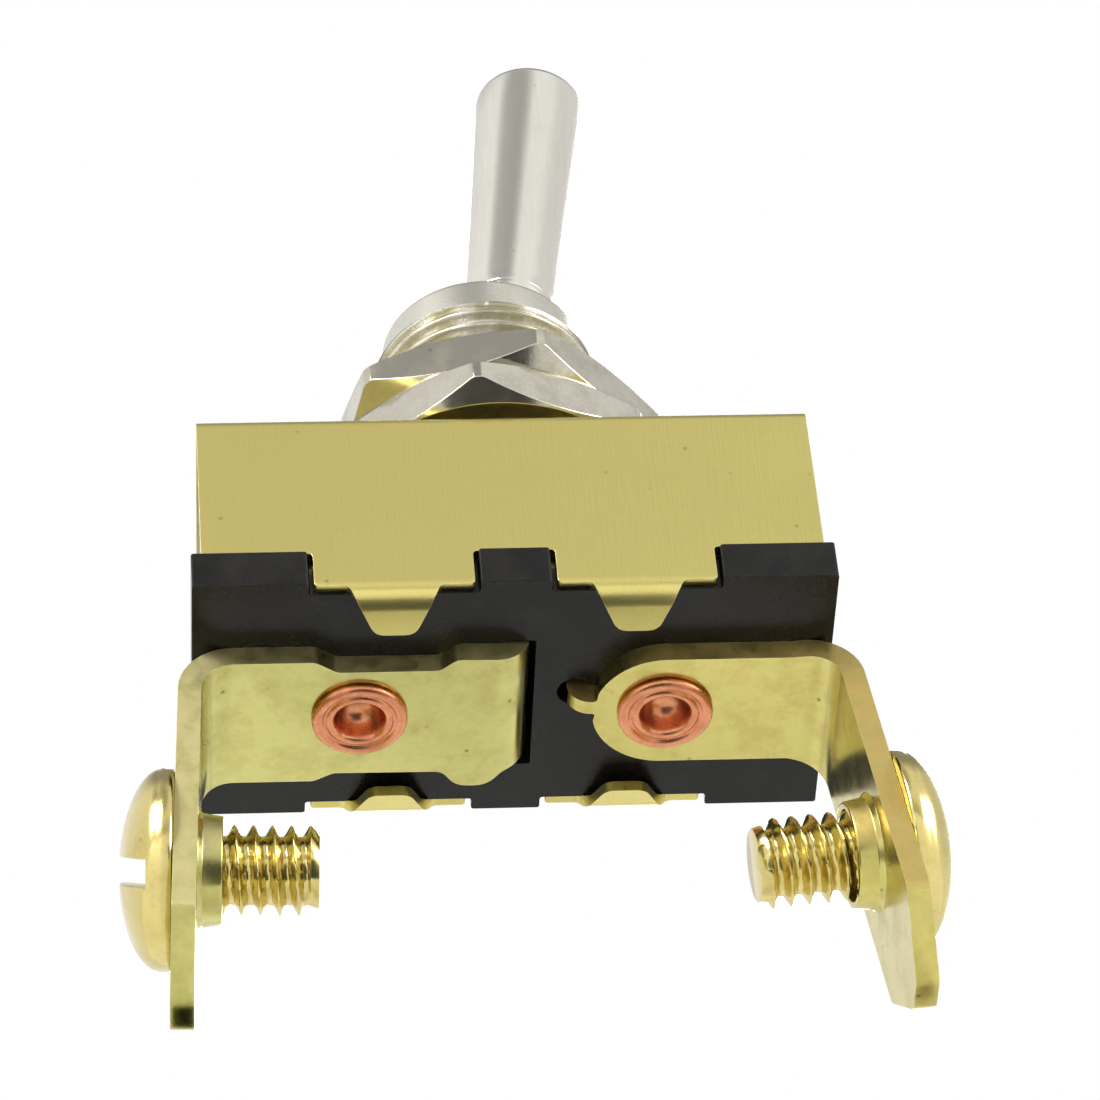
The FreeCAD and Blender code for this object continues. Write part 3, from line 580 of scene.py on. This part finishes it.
thread_rad, thread_end, nose_rad, nose_top = 6.35, 5.64, 5.70, 7.75
pivot_z, seat, throat = -3.0, 4.0, 2.75
seat_lift = math.acos(throat / seat)
under_cover = case_top - cover_gauge - 0.01
bore = [(seat, under_cover - 1.0)]
bore += [(seat * math.cos(seat_lift * k / 12), pivot_z + seat * math.sin(seat_lift * k / 12))
         for k in range(13)]
bushing_profile = bore + [
    (4.15, nose_top), (nose_rad, nose_top), (nose_rad, thread_end + 0.1),
    (thread_rad - 0.55, thread_end), (thread_rad, thread_end - 0.5), (thread_rad, under_cover),
    (7.5, under_cover), (7.5, under_cover - 1.0)]
bm = bmesh.new()
shaped = []
for k, point in enumerate(bushing_profile):
    broken = 0.35 if point == (nose_rad, nose_top) else 0.10
    beside = [bushing_profile[k - 1], point, bushing_profile[(k + 1) % len(bushing_profile)]]
    shaped += round_corners(beside, broken, closed=False, steps=6)[1:-1]
lathe(bm, rows(shaped, thread_rad, 0.09), 128)
bushing = smooth_mesh("threaded_bushing", bm, 50)
run_tree(bushing, cut_thread, Major_Radius=thread_rad * mm, Depth=0.62 * mm, Pitch=1.058 * mm,
         Thread_Start=case_top * mm, Thread_End=(thread_end - 0.1) * mm, Run_Out=0.6 * mm,
         Material=worn_nickel)
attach(bushing, "case")
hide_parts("bushing")

# ------------------------------------------------------------------ panel nuts
# Two hexagon nuts of plated brass, 17.46 mm across the flats, chamfered on both
# faces. They clamp the panel between them and sit here at the angles at which
# they were left, the upper one turned further round than the lower.


def hexagon_nut(bm, flats, low, high, hole, turn):
    """A hexagon nut as rings of points, its chamfer cut by a cone as on a lathe."""
    steps, cone, mouth, deep = 288, flats / 2 - 0.15, 0.35, 0.4
    blunted = flats / 2 / math.cos(math.pi / 6) - 0.16
    slope = math.tan(math.radians(30)) * 1.05
    rings = [[], [], [], [], [], [], [], []]
    for k in range(steps):
        angle = math.tau * k / steps
        across = (angle % (math.pi / 3)) - math.pi / 6
        reach = min(flats / 2 / math.cos(across), blunted)
        drop = max(0.0, (reach - cone)) * slope
        face = min(reach - 0.02, cone)
        levels = [(hole, low + deep), (hole + mouth, low), (face, low), (reach, low + drop),
                  (reach, high - drop), (face, high), (hole + mouth, high), (hole, high - deep)]
        spin = angle + math.radians(turn) - math.pi / 2
        for level, (radius, height) in zip(rings, levels):
            level.append(bm.verts.new((radius * math.cos(spin), radius * math.sin(spin), height)))
    for i, lower in enumerate(rings):
        upper = rings[(i + 1) % len(rings)]
        for k in range(steps):
            bm.faces.new((lower[k - 1], lower[k], upper[k], upper[k - 1]))


nut_nickel = metal(
    "dulled_nut_nickel", (0.60, 0.565, 0.48), (0.36, 0.33, 0.25), (0.22, 0.19, 0.12),
    (0.74, 0.71, 0.63), every_way,
    {"Streaks": 5000.0, "Clouds": 420.0, "Tarnish": 0.7, "Specks": 0.6, "Smooth": 0.13,
     "Rough": 0.30}, wear=0.3, bump=0.07)
nut_flats, nut_high, nut_hole = 17.46, 2.78, 6.40
for name, low, turn in (("lower", -5.66, -7.1), ("upper", -2.86, 14.25)):
    bm = bmesh.new()
    hexagon_nut(bm, nut_flats, low, low + nut_high, nut_hole, turn)
    nut = smooth_mesh("panel_nut_" + name + "_hexagon", bm, 18)
    bevel = nut.modifiers.new("broken_edge", "BEVEL")
    bevel.width, bevel.segments, bevel.limit_method = 0.035 * mm, 2, "ANGLE"
    bevel.angle_limit = math.radians(20)
    flats_kept(nut)
    nut.data.materials.append(nut_nickel)
    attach(nut, "nut_" + name)
    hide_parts("panel_nut_" + name)

# ------------------------------------------------------------------ lever
# Bat lever of nickel-plated steel, thicker towards its tip, with a flat end. Its
# foot narrows to a neck in the bushing's mouth; the ball, the cross pin and the
# hollow tail below work the contacts.

lean = math.radians(7.45)
ball, neck, tail, hollow = 3.90, 2.00, 2.30, 1.45
hollow_top, tail_low, foot_low, foot_high = -1.90, -7.50, 10.05, 10.90
shoulder, tip_high = 32.40, 33.10
foot_rad, tip_rad, tip_corner, flat_rad = 2.50, 3.22, 0.7, 1.6
upper, lower = math.acos(neck / ball), -math.acos(tail / ball)
lever_profile = [(0, hollow_top), (hollow, hollow_top), (hollow, tail_low), (tail, tail_low)]
lever_profile += [(ball * math.cos(lower + (upper - lower) * k / 24),
                   ball * math.sin(lower + (upper - lower) * k / 24)) for k in range(25)]
lever_profile += [(neck, foot_low), (neck + 0.12, 10.2), (2.30, 10.42), (2.26, 10.5),
                  (2.42, 10.66), (2.40, 10.74), (foot_rad, foot_high)]
lever_profile += [(2.54, 14.20), (2.565, 14.28), (2.545, 14.36), (2.555, 14.44),
                  (2.585, 14.52), (2.57, 14.60)]
lever_profile += [(foot_rad + (tip_rad - foot_rad) * (k / 10) ** 1.1,
                   foot_high + (shoulder - foot_high) * k / 10) for k in range(2, 11)]
lever_profile += [(tip_rad - tip_corner + tip_corner * math.cos(math.pi / 2 * k / 8),
                   shoulder + tip_corner * math.sin(math.pi / 2 * k / 8)) for k in range(1, 9)]
lever_profile += [(flat_rad, tip_high), (0, tip_high)]
bm = bmesh.new()
lathe(bm, lever_profile, 96)
lean_over = Matrix.Translation((0, 0, pivot_z)) @ Matrix.Rotation(lean, 4, "Y")
bmesh.ops.transform(bm, matrix=lean_over, verts=bm.verts)
lever = smooth_mesh("bat_lever", bm, 60)
lever_nickel = metal(
    "polished_lever_nickel", (0.76, 0.74, 0.66), (0.56, 0.53, 0.46), (0.35, 0.32, 0.26),
    (0.92, 0.90, 0.85), (1.0, 1.0, 0.08),
    {"Streaks": 3500.0, "Clouds": 120.0, "Tarnish": 0.3, "Specks": 0.2, "Smooth": 0.16,
     "Rough": 0.30}, bump=0.05)
lever.data.materials.append(lever_nickel)
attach(lever, "lever")
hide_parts("lever")

# ------------------------------------------------------------------ works inside the case
# Cross pin, sprung plunger, rocking contact blade and silver buttons. They are
# small turned and stamped pieces, kept in the shapes in which they work.

spring_steel = metal(
    "spring_steel", (0.55, 0.55, 0.56), (0.36, 0.35, 0.34), (0.15, 0.1, 0.07),
    (0.75, 0.75, 0.75), every_way,
    {"Streaks": 6000.0, "Tarnish": 0.4, "Smooth": 0.25, "Rough": 0.4})
contact_brass = metal(
    "stamped_contact_brass", (0.70, 0.56, 0.28), (0.48, 0.36, 0.16), (0.15, 0.1, 0.05),
    (0.85, 0.75, 0.5), (1.0, 0.1, 1.0),
    {"Streaks": 6000.0, "Tarnish": 0.5, "Smooth": 0.25, "Rough": 0.42})
silver = metal(
    "contact_silver", (0.86, 0.85, 0.82), (0.45, 0.42, 0.38), (0.1, 0.09, 0.08),
    (0.95, 0.95, 0.93), every_way,
    {"Streaks": 4000.0, "Tarnish": 0.4, "Smooth": 0.22, "Rough": 0.4})
for node, finish in (("pivot_pin", spring_steel), ("plunger_spring", spring_steel),
                     ("plunger", contact_brass), ("contact_rocker", contact_brass),
                     ("moving_contact", silver), ("fixed_contact", silver)):
    dress(node, finish)

# ------------------------------------------------------------------ terminals
# Two stampings of 1.25 mm brass, riveted under the base and bent down at its ends
# as legs. The common one turns up through the base as the blade's fulcrum; the
# load one is round about its rivet, with a prong that stops it turning. Each leg
# has an extruded, tapped collar on its inner side and a pointed end.

strip_top, metal_gauge, leg_bend = -19.82, 1.25, 1.75
strip_low = strip_top - metal_gauge
leg_long, screw_down, leg_half, leg_corner, tapped = 19.10, 8.90, 4.60, 3.60, 2.46
common_leg, load_leg = (-1, 15.06, 2.5), (1, 15.70, 6.5)  # side, place of the bend, splay
terminal_grain = {"Streaks": 2600.0, "Clouds": 420.0, "Tarnish": 0.7, "Specks": 0.85,
                  "Smooth": 0.18, "Rough": 0.34}
brown_speck, rubbed_brass = (0.26, 0.17, 0.05), (0.85, 0.80, 0.50)
terminal_brass = metal(
    "bright_terminal_brass", (0.58, 0.55, 0.205), (0.42, 0.375, 0.12), brown_speck, rubbed_brass,
    every_way, terminal_grain, bump=0.12)
golden_brass = metal(
    "golden_terminal_brass", (0.61, 0.54, 0.18), (0.44, 0.355, 0.10), brown_speck, rubbed_brass,
    every_way, terminal_grain, bump=0.12)


def shear(material, burnt, share):
    """Darkens and roughens the sheared sides of a stamping, which face along Y."""
    tree = material.node_tree
    shader = tree.nodes["Principled BSDF"]
    faced = tree.nodes.new("ShaderNodeNewGeometry")
    split = node_of(tree, "ShaderNodeSeparateXYZ", _0=faced.outputs["Normal"])
    sideways = node_of(tree, "ShaderNodeMath", "ABSOLUTE", _0=split.outputs["Y"])
    where = tree.nodes.new("ShaderNodeTexCoord")
    torn = node_of(tree, "ShaderNodeTexNoise", Scale=900.0, Detail=6.0, Roughness=0.7,
                   Vector=where.outputs["Object"])
    amount = product(tree, mapped(tree, sideways.outputs[0], 0.75, 0.95),
                     mapped(tree, torn.outputs["Fac"], 0.3, 0.62, 0.35, share))
    colour, rough = shader.inputs["Base Color"], shader.inputs["Roughness"]
    tree.links.new(mixed(tree, amount, colour.links[0].from_socket, burnt), colour)
    coarse = node_of(tree, "ShaderNodeMix", Factor=amount, A=rough.links[0].from_socket, B=0.62)
    tree.links.new(coarse.outputs["Result"], rough)


shear(terminal_brass, (0.46, 0.40, 0.20), 0.9)
shear(golden_brass, (0.44, 0.32, 0.11), 0.95)


def leg_end(begin):
    """Outline of a leg from its bend to its tip and back, as (across, along) points."""
    low, high, end = leg_mid - leg_half, leg_mid + leg_half, begin + leg_long
    return [(low, begin), (low, end - leg_corner), (low + leg_corner, end),
            (high - leg_corner, end), (high, end - leg_corner), (high, begin)]


def leg_hole(leg, reach):
    """Where a leg's screw hole lies, this far out from its bend's centre, and its turn."""
    side, bend_x, splay = leg
    tilt, outer = math.radians(splay), leg_bend + metal_gauge
    x = bend_x + reach * math.cos(tilt) + screw_down * math.sin(tilt)
    z = strip_top - outer + reach * math.sin(tilt) - screw_down * math.cos(tilt)
    return (x * side, leg_mid, z), Matrix.Rotation((math.pi / 2 - tilt) * side, 4, "Y")


def add_collar(terminal, leg):
    """Joins the extruded collar to a leg, inside and around the screw's hole."""
    collar = bmesh.new()
    lathe(collar, round_corners([(tapped, 0.3), (tapped, -1.3), (2.85, -1.3), (3.0, -0.25),
                                 (3.3, 0.02), (3.3, 0.3)], 0.12), 64)
    spot, turn = leg_hole(leg, leg_bend)
    bmesh.ops.transform(collar, matrix=Matrix.Translation(spot) @ turn, verts=collar.verts)
    ring_piece = smooth_mesh("collar", collar)
    whole = bmesh.new()
    whole.from_mesh(terminal.data)
    whole.from_mesh(ring_piece.data)
    bpy.data.objects.remove(ring_piece)
    whole.to_mesh(terminal.data)
    whole.free()


def grind_to_edge(piece, apex, drop):
    """Grinds both faces of an upturned end down to a knife edge at the given height."""
    bm = bmesh.new()
    bm.from_mesh(piece.data)
    for way in (-1, 1):
        upturned = [face for face in bm.faces
                    if all(v.co.z > (strip_top + 0.5) * mm for v in face.verts)]
        parts = dict.fromkeys(upturned)
        for face in upturned:
            parts.update(dict.fromkeys([*face.verts, *face.edges]))
        cut = bmesh.ops.bisect_plane(
            bm, geom=list(parts), dist=0.0001 * mm, plane_co=(0, 0, apex * mm),
            plane_no=(way * drop, 0, tongue_half), clear_outer=True)
        bmesh.ops.holes_fill(
            bm, edges=[part for part in cut["geom_cut"] if isinstance(part, bmesh.types.BMEdge)])
    bmesh.ops.recalc_face_normals(bm, faces=bm.faces)
    bm.to_mesh(piece.data)
    bm.free()
    piece.data.shade_smooth()
    piece.data.set_sharp_from_angle(angle=math.radians(20))


def terminal(name, brass, leg, begin, lean, first_bend, plan, knife_edge=0.0):
    """Folds a terminal from its flat outline; plan gives (across, distance out) corners.

    Its upturned end leans this many degrees away from the leg towards its foot.
    """
    side, bend_x, splay = leg
    (start_out, start_z), slant = begin, math.radians(lean)
    first_run = (start_z - strip_low - first_bend * (1 + math.sin(slant))) / math.cos(slant)
    corner = start_out - first_run * math.sin(slant) + first_bend * math.cos(slant)
    flat_begin = first_run + (math.pi / 2 + slant) * first_bend
    leg_begin = flat_begin + bend_x - corner + math.radians(90 - splay) * leg_bend
    fold = folded(begin, (-math.sin(slant), -math.cos(slant)), [
        ("run", first_run), ("turn", 90 + lean, first_bend), ("run", bend_x - corner),
        ("turn", splay - 90, leg_bend), ("run", leg_long)])
    low_side, high_side, foot_low, foot_high = plan
    outline = [(foot_low, 0), (foot_low, first_run - 0.3)]
    outline += [(y, flat_begin + out - corner, *own) for y, out, *own in low_side]
    outline += leg_end(leg_begin)
    outline += [(y, flat_begin + out - corner, *own) for y, out, *own in high_side]
    outline += [(foot_high, first_run - 0.3), (foot_high, 0)]
    loops = [round_corners(outline, 0.8, steps=5),
             ring(0, flat_begin + rivet_x - corner, rivet_hole),
             ring(leg_mid, leg_begin + screw_down, tapped)]
    piece = sheet_metal(name, loops, metal_gauge, fold,
                        lambda across, spot, way: (spot.x * side, across, spot.y), edge=0.12)
    if knife_edge:
        grind_to_edge(piece, start_z, knife_edge)
    add_collar(piece, leg)
    flats_kept(piece)
    piece.data.materials.clear()
    piece.data.materials.append(brass)
    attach(piece, "case")
    return piece


def nose_arc(radius, begin, end, steps=12):
    """Points of the load terminal's round end, as (across, distance out)."""
    points = []
    for k in range(steps + 1):
        turn = math.radians(begin + (end - begin) * k / steps)
        points.append((radius * math.sin(turn), rivet_x + radius * math.cos(turn)))
    return points


common = terminal(
    "terminal_common_stamping", terminal_brass, common_leg, (-tongue_half, -14.9), 4.3, 1.9,
    ([(-4.15, 0.9), (-4.2, 3.1), (-3.4, 4.0), (-3.4, 9.5), (-4.2, 10.7)],
     [(5.0, 10.7), (4.4, 9.6), (4.45, 3.7), (5.6, 2.9, 1.2), (5.6, 1.3, 1.6), (4.6, 0.4)],
     -4.1, 4.1), knife_edge=0.9)
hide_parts("terminal_common")
load = terminal(
    "terminal_load_stamping", golden_brass, load_leg, (2.98, -18.22), 0.0, 1.3,
    ([(-0.75, 4.55, 0.4)] + nose_arc(3.9, 200, 268) + [(-3.9, 15.0)],
     [(3.95, 15.2)] + nose_arc(3.95, 92, 170) + [(0.15, 4.5, 0.3)], -0.75, 0.15))
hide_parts("terminal_load")

# ------------------------------------------------------------------ rivets
# Two tubular copper rivets, passed through the terminals and the base from below
# and spread inside the case. Their rolled rims show a fine groove round the hole.


def rivet_tree():
    """Geometry Nodes tree that sets two equal rivets a spacing apart along X."""
    tree, given, result = new_group(
        "set_rivets",
        [("Geometry", GEOMETRY, None), ("Rivet", OBJECT, None), ("Spacing", FLOAT, None),
         ("Material", MATERIAL, None)], [("Geometry", GEOMETRY)], "GeometryNodeTree")
    spacing = given.outputs["Spacing"]
    left = node_of(tree, "ShaderNodeCombineXYZ", _0=product(tree, spacing, -0.5))
    step = node_of(tree, "ShaderNodeCombineXYZ", _0=spacing)
    line = node_of(tree, "GeometryNodeMeshLine", Count=2, Start_Location=left.outputs[0],
                   Offset=step.outputs[0])
    one = node_of(tree, "GeometryNodeObjectInfo", Object=given.outputs["Rivet"])
    each = node_of(tree, "GeometryNodeInstanceOnPoints", Points=line.outputs["Mesh"],
                   Instance=one.outputs["Geometry"])
    return finish_tree(tree, each.outputs[0], given, result)


copper = metal(
    "rivet_copper", (0.72, 0.30, 0.16), (0.42, 0.15, 0.07), (0.20, 0.08, 0.04),
    (0.90, 0.56, 0.40), every_way,
    {"Streaks": 3000.0, "Clouds": 700.0, "Tarnish": 0.6, "Specks": 0.3, "Smooth": 0.26,
     "Rough": 0.44}, wear=0.2, bump=0.1)
under, inside = strip_low - 0.01, base_floor + 0.01
rim = [(2.38, 0), (2.55, 0.06), (2.60, 0.18), (2.57, 0.31), (2.46, 0.43), (2.30, 0.50),
       (2.14, 0.48), (2.02, 0.39), (1.95, 0.30), (1.88, 0.29), (1.80, 0.36), (1.70, 0.43),
       (1.58, 0.44), (1.46, 0.38), (1.37, 0.24), (1.31, 0.05)]
rivet_profile = [(0, inside + 0.8), (2.25, inside + 0.8), (2.4, inside + 0.65), (2.4, inside),
                 (1.8, inside), (1.8, under)]
rivet_profile += [(radius, under - drop) for radius, drop in rim]
rivet_profile += [(1.25, under + 0.20), (1.14, under + 0.48), (0.98, under + 0.72),
                  (0.78, under + 0.90), (0.54, under + 1.02), (0.28, under + 1.08),
                  (0, under + 1.10)]
bm = bmesh.new()
lathe(bm, rivet_profile, 72)
one_rivet = smooth_mesh("one_rivet", bm, 60)
rivets = bpy.data.objects.new("copper_rivets", bpy.data.meshes.new("copper_rivets"))
bpy.context.scene.collection.objects.link(rivets)
run_tree(rivets, rivet_tree(), Rivet=one_rivet, Spacing=2 * rivet_x * mm, Material=copper)
bpy.data.objects.remove(one_rivet)
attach(rivets, "case")
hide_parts("rivet_common", "rivet_load")

# ------------------------------------------------------------------ terminal screws
# Slotted binding-head screws of brass, cut with a thread of 1 mm pitch and driven
# inwards through the tapped collars, to clamp the wires under their heads.

screw_brass = metal(
    "screw_brass", (0.70, 0.59, 0.24), (0.50, 0.38, 0.11), (0.20, 0.13, 0.04),
    (0.82, 0.74, 0.42), every_way,
    {"Streaks": 4200.0, "Clouds": 600.0, "Tarnish": 0.5, "Specks": 0.35, "Smooth": 0.15,
     "Rough": 0.32}, bump=0.12)
screw_rad, screw_long, head_rad, head_high = 2.41, 7.60, 5.35, 2.90
screw_profile = [(0, -screw_long), (screw_rad - 0.45, -screw_long),
                 (screw_rad, -screw_long + 0.45), (screw_rad, 0.02), (head_rad - 0.2, 0.02),
                 (head_rad - 0.04, 0.10), (head_rad, 0.22), (head_rad, 0.72),
                 (head_rad - 0.06, 0.80)]
screw_profile += [((head_rad - 0.06) * math.cos(math.pi / 2 * k / 14),
                   0.80 + (head_high - 0.80) * math.sin(math.pi / 2 * k / 14) ** 1.1)
                  for k in range(1, 14)] + [(0, head_high)]
slot_turn, slot_wide, slot_deep = math.radians(-45), 1.5, 1.5
for name, leg in (("common", common_leg), ("load", load_leg)):
    bm = bmesh.new()
    lathe(bm, rows(screw_profile, screw_rad, 0.085), 96)
    screw = smooth_mesh("screw_" + name + "_slotted", bm, 50)
    run_tree(screw, cut_thread, Major_Radius=screw_rad * mm, Depth=0.60 * mm,
             Pitch=1.0 * mm, Thread_Start=(-screw_long - 0.3) * mm, Thread_End=-0.1 * mm,
             Run_Out=0.2 * mm, Material=screw_brass)
    slot_cut = bmesh.new()
    bmesh.ops.create_cube(slot_cut, size=1.0)
    bmesh.ops.scale(slot_cut, vec=(slot_wide, 14, 4), verts=slot_cut.verts)
    bmesh.ops.translate(slot_cut, vec=(0, 0, head_high - slot_deep + 2), verts=slot_cut.verts)
    bmesh.ops.rotate(slot_cut, matrix=Matrix.Rotation(slot_turn, 3, "Z"), verts=slot_cut.verts)
    cutter = smooth_mesh("slot_cutter", slot_cut)
    milled = screw.modifiers.new("slot", "BOOLEAN")
    milled.object, milled.operation, milled.solver = cutter, "DIFFERENCE", "EXACT"
    broken_edge = screw.modifiers.new("broken_edge", "BEVEL")
    broken_edge.width, broken_edge.segments = 0.07 * mm, 2
    broken_edge.limit_method, broken_edge.angle_limit = "ANGLE", math.radians(50)
    baked(screw)
    bpy.data.objects.remove(cutter)
    spot, turn = leg_hole(leg, leg_bend + metal_gauge)
    half_turn = Matrix.Rotation(math.pi, 4, "Z")
    seat_at = Matrix.Translation([place * mm for place in spot])
    screw.data.transform(seat_at @ turn @ half_turn)
    screw.data.materials.clear()
    screw.data.materials.append(screw_brass)
    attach(screw, "screw_" + name)
    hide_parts("screw_" + name)

# ------------------------------------------------------------------ studio
# Pale floor under the tips of the legs, clear from its underside because the camera
# looks up through it, soft lights on three sides and a long lens.

floor_z = min(cad_box[0][2], cad_box[1][2])
bm = bmesh.new()
bmesh.ops.create_grid(bm, x_segments=1, y_segments=1, size=1500)
bmesh.ops.translate(bm, vec=(0, 0, floor_z / mm - 0.05), verts=bm.verts)
floor = smooth_mesh("studio_floor", bm)
if floor.data.polygons[0].normal.z < 0:
    floor.data.flip_normals()
pale = bpy.data.materials.new("pale_floor")
pale.use_nodes = True
tree = pale.node_tree
matte = tree.nodes["Principled BSDF"]
matte.inputs["Base Color"].default_value = (0.70, 0.70, 0.69, 1)
matte.inputs["Roughness"].default_value = 0.7
clear = tree.nodes.new("ShaderNodeBsdfTransparent")
which = tree.nodes.new("ShaderNodeNewGeometry")
one_sided = tree.nodes.new("ShaderNodeMixShader")
tree.links.new(which.outputs["Backfacing"], one_sided.inputs["Fac"])
tree.links.new(matte.outputs[0], one_sided.inputs[1])
tree.links.new(clear.outputs[0], one_sided.inputs[2])
tree.links.new(one_sided.outputs[0], tree.nodes["Material Output"].inputs["Surface"])
floor.data.materials.append(pale)

# A black card beside the camera, seen only in the metal's reflections.
bm = bmesh.new()
bmesh.ops.create_grid(bm, x_segments=1, y_segments=1, size=1)
bmesh.ops.scale(bm, vec=(14.5, 14, 1), verts=bm.verts)
bmesh.ops.translate(bm, vec=(0, -17, floor_z / mm + 0.5), verts=bm.verts)
card = smooth_mesh("studio_card", bm)
black = bpy.data.materials.new("black_card")
black.use_nodes = True
black.node_tree.nodes["Principled BSDF"].inputs["Base Color"].default_value = (0.02, 0.02, 0.02, 1)
card.data.materials.append(black)
card.visible_camera = card.visible_diffuse = card.visible_shadow = False
card.visible_transmission = False


def soft_light(name, spot, aim, size, power):
    """A square area light at a spot in mm, turned towards an aim."""
    data = bpy.data.lights.new(name, "AREA")
    data.size, data.energy = size * mm, power
    lamp = bpy.data.objects.new(name, data)
    lamp.location = Vector(spot) * mm
    lamp.rotation_euler = (Vector(aim) - Vector(spot)).to_track_quat("-Z", "Y").to_euler()
    bpy.context.scene.collection.objects.link(lamp)


centre = (0, 0, -8)
soft_light("key", (-230, -260, 130), centre, 170, 1.6)
soft_light("side", (260, -160, 20), centre, 160, 0.7)
soft_light("back", (90, 240, 200), centre, 200, 0.7)

world = bpy.data.worlds.new("white_room")
bpy.context.scene.world = world
world.use_nodes = True
tree = world.node_tree
room = tree.nodes["Background"]
direction = tree.nodes.new("ShaderNodeTexCoord")
dark = 1.0
for heading, narrow, wide, shade in (((-0.08, -0.72, -0.69), 0.93, 0.35, 0.85),
                                     ((0.05, 0.15, 0.99), 0.97, 0.78, 0.65),
                                     ((0.75, 0.10, 0.65), 0.97, 0.80, 0.20),
                                     ((-0.28, -0.64, 0.71), 0.985, 0.86, 0.55)):
    along = node_of(tree, "ShaderNodeVectorMath", "DOT_PRODUCT",
                    _0=direction.outputs["Generated"], _1=Vector(heading).normalized())
    patch = node_of(tree, "ShaderNodeMapRange", Value=along.outputs["Value"], From_Min=wide,
                    From_Max=narrow, To_Min=1.0, To_Max=1.0 - shade)
    patch.interpolation_type = "SMOOTHSTEP"
    dark = product(tree, dark, patch.outputs["Result"])
seen = tree.nodes.new("ShaderNodeLightPath")
white = node_of(tree, "ShaderNodeMix", Factor=seen.outputs["Is Camera Ray"], A=dark, B=1.0)
tree.links.new(white.outputs["Result"], room.inputs["Strength"])
room.inputs["Color"].default_value = (1, 1, 1, 1)

bpy.context.scene.view_settings.view_transform = "Standard"
camera_data = bpy.data.cameras.new("camera")
camera_data.lens, camera_data.sensor_width = 188.4, 36.0
camera_data.clip_start, camera_data.clip_end = 0.01, 10.0
camera = bpy.data.objects.new("camera", camera_data)
azimuth, elevation, roll = math.radians(-6.33), math.radians(-45.3), math.radians(-5.54)
aim, distance = Vector((2.89, 0, -8.53)), 320.0
back = Vector((math.sin(azimuth) * math.cos(elevation), -math.cos(azimuth) * math.cos(elevation),
               math.sin(elevation)))
right = Vector((math.cos(azimuth), math.sin(azimuth), 0))
up = back.cross(right)
right, up = (right * math.cos(roll) + up * math.sin(roll),
             up * math.cos(roll) - right * math.sin(roll))
camera.matrix_world = Matrix.Translation((aim + back * distance) * mm) @ Matrix(
    (right, up, back)).transposed().to_4x4()
bpy.context.scene.collection.objects.link(camera)
bpy.context.scene.camera = camera
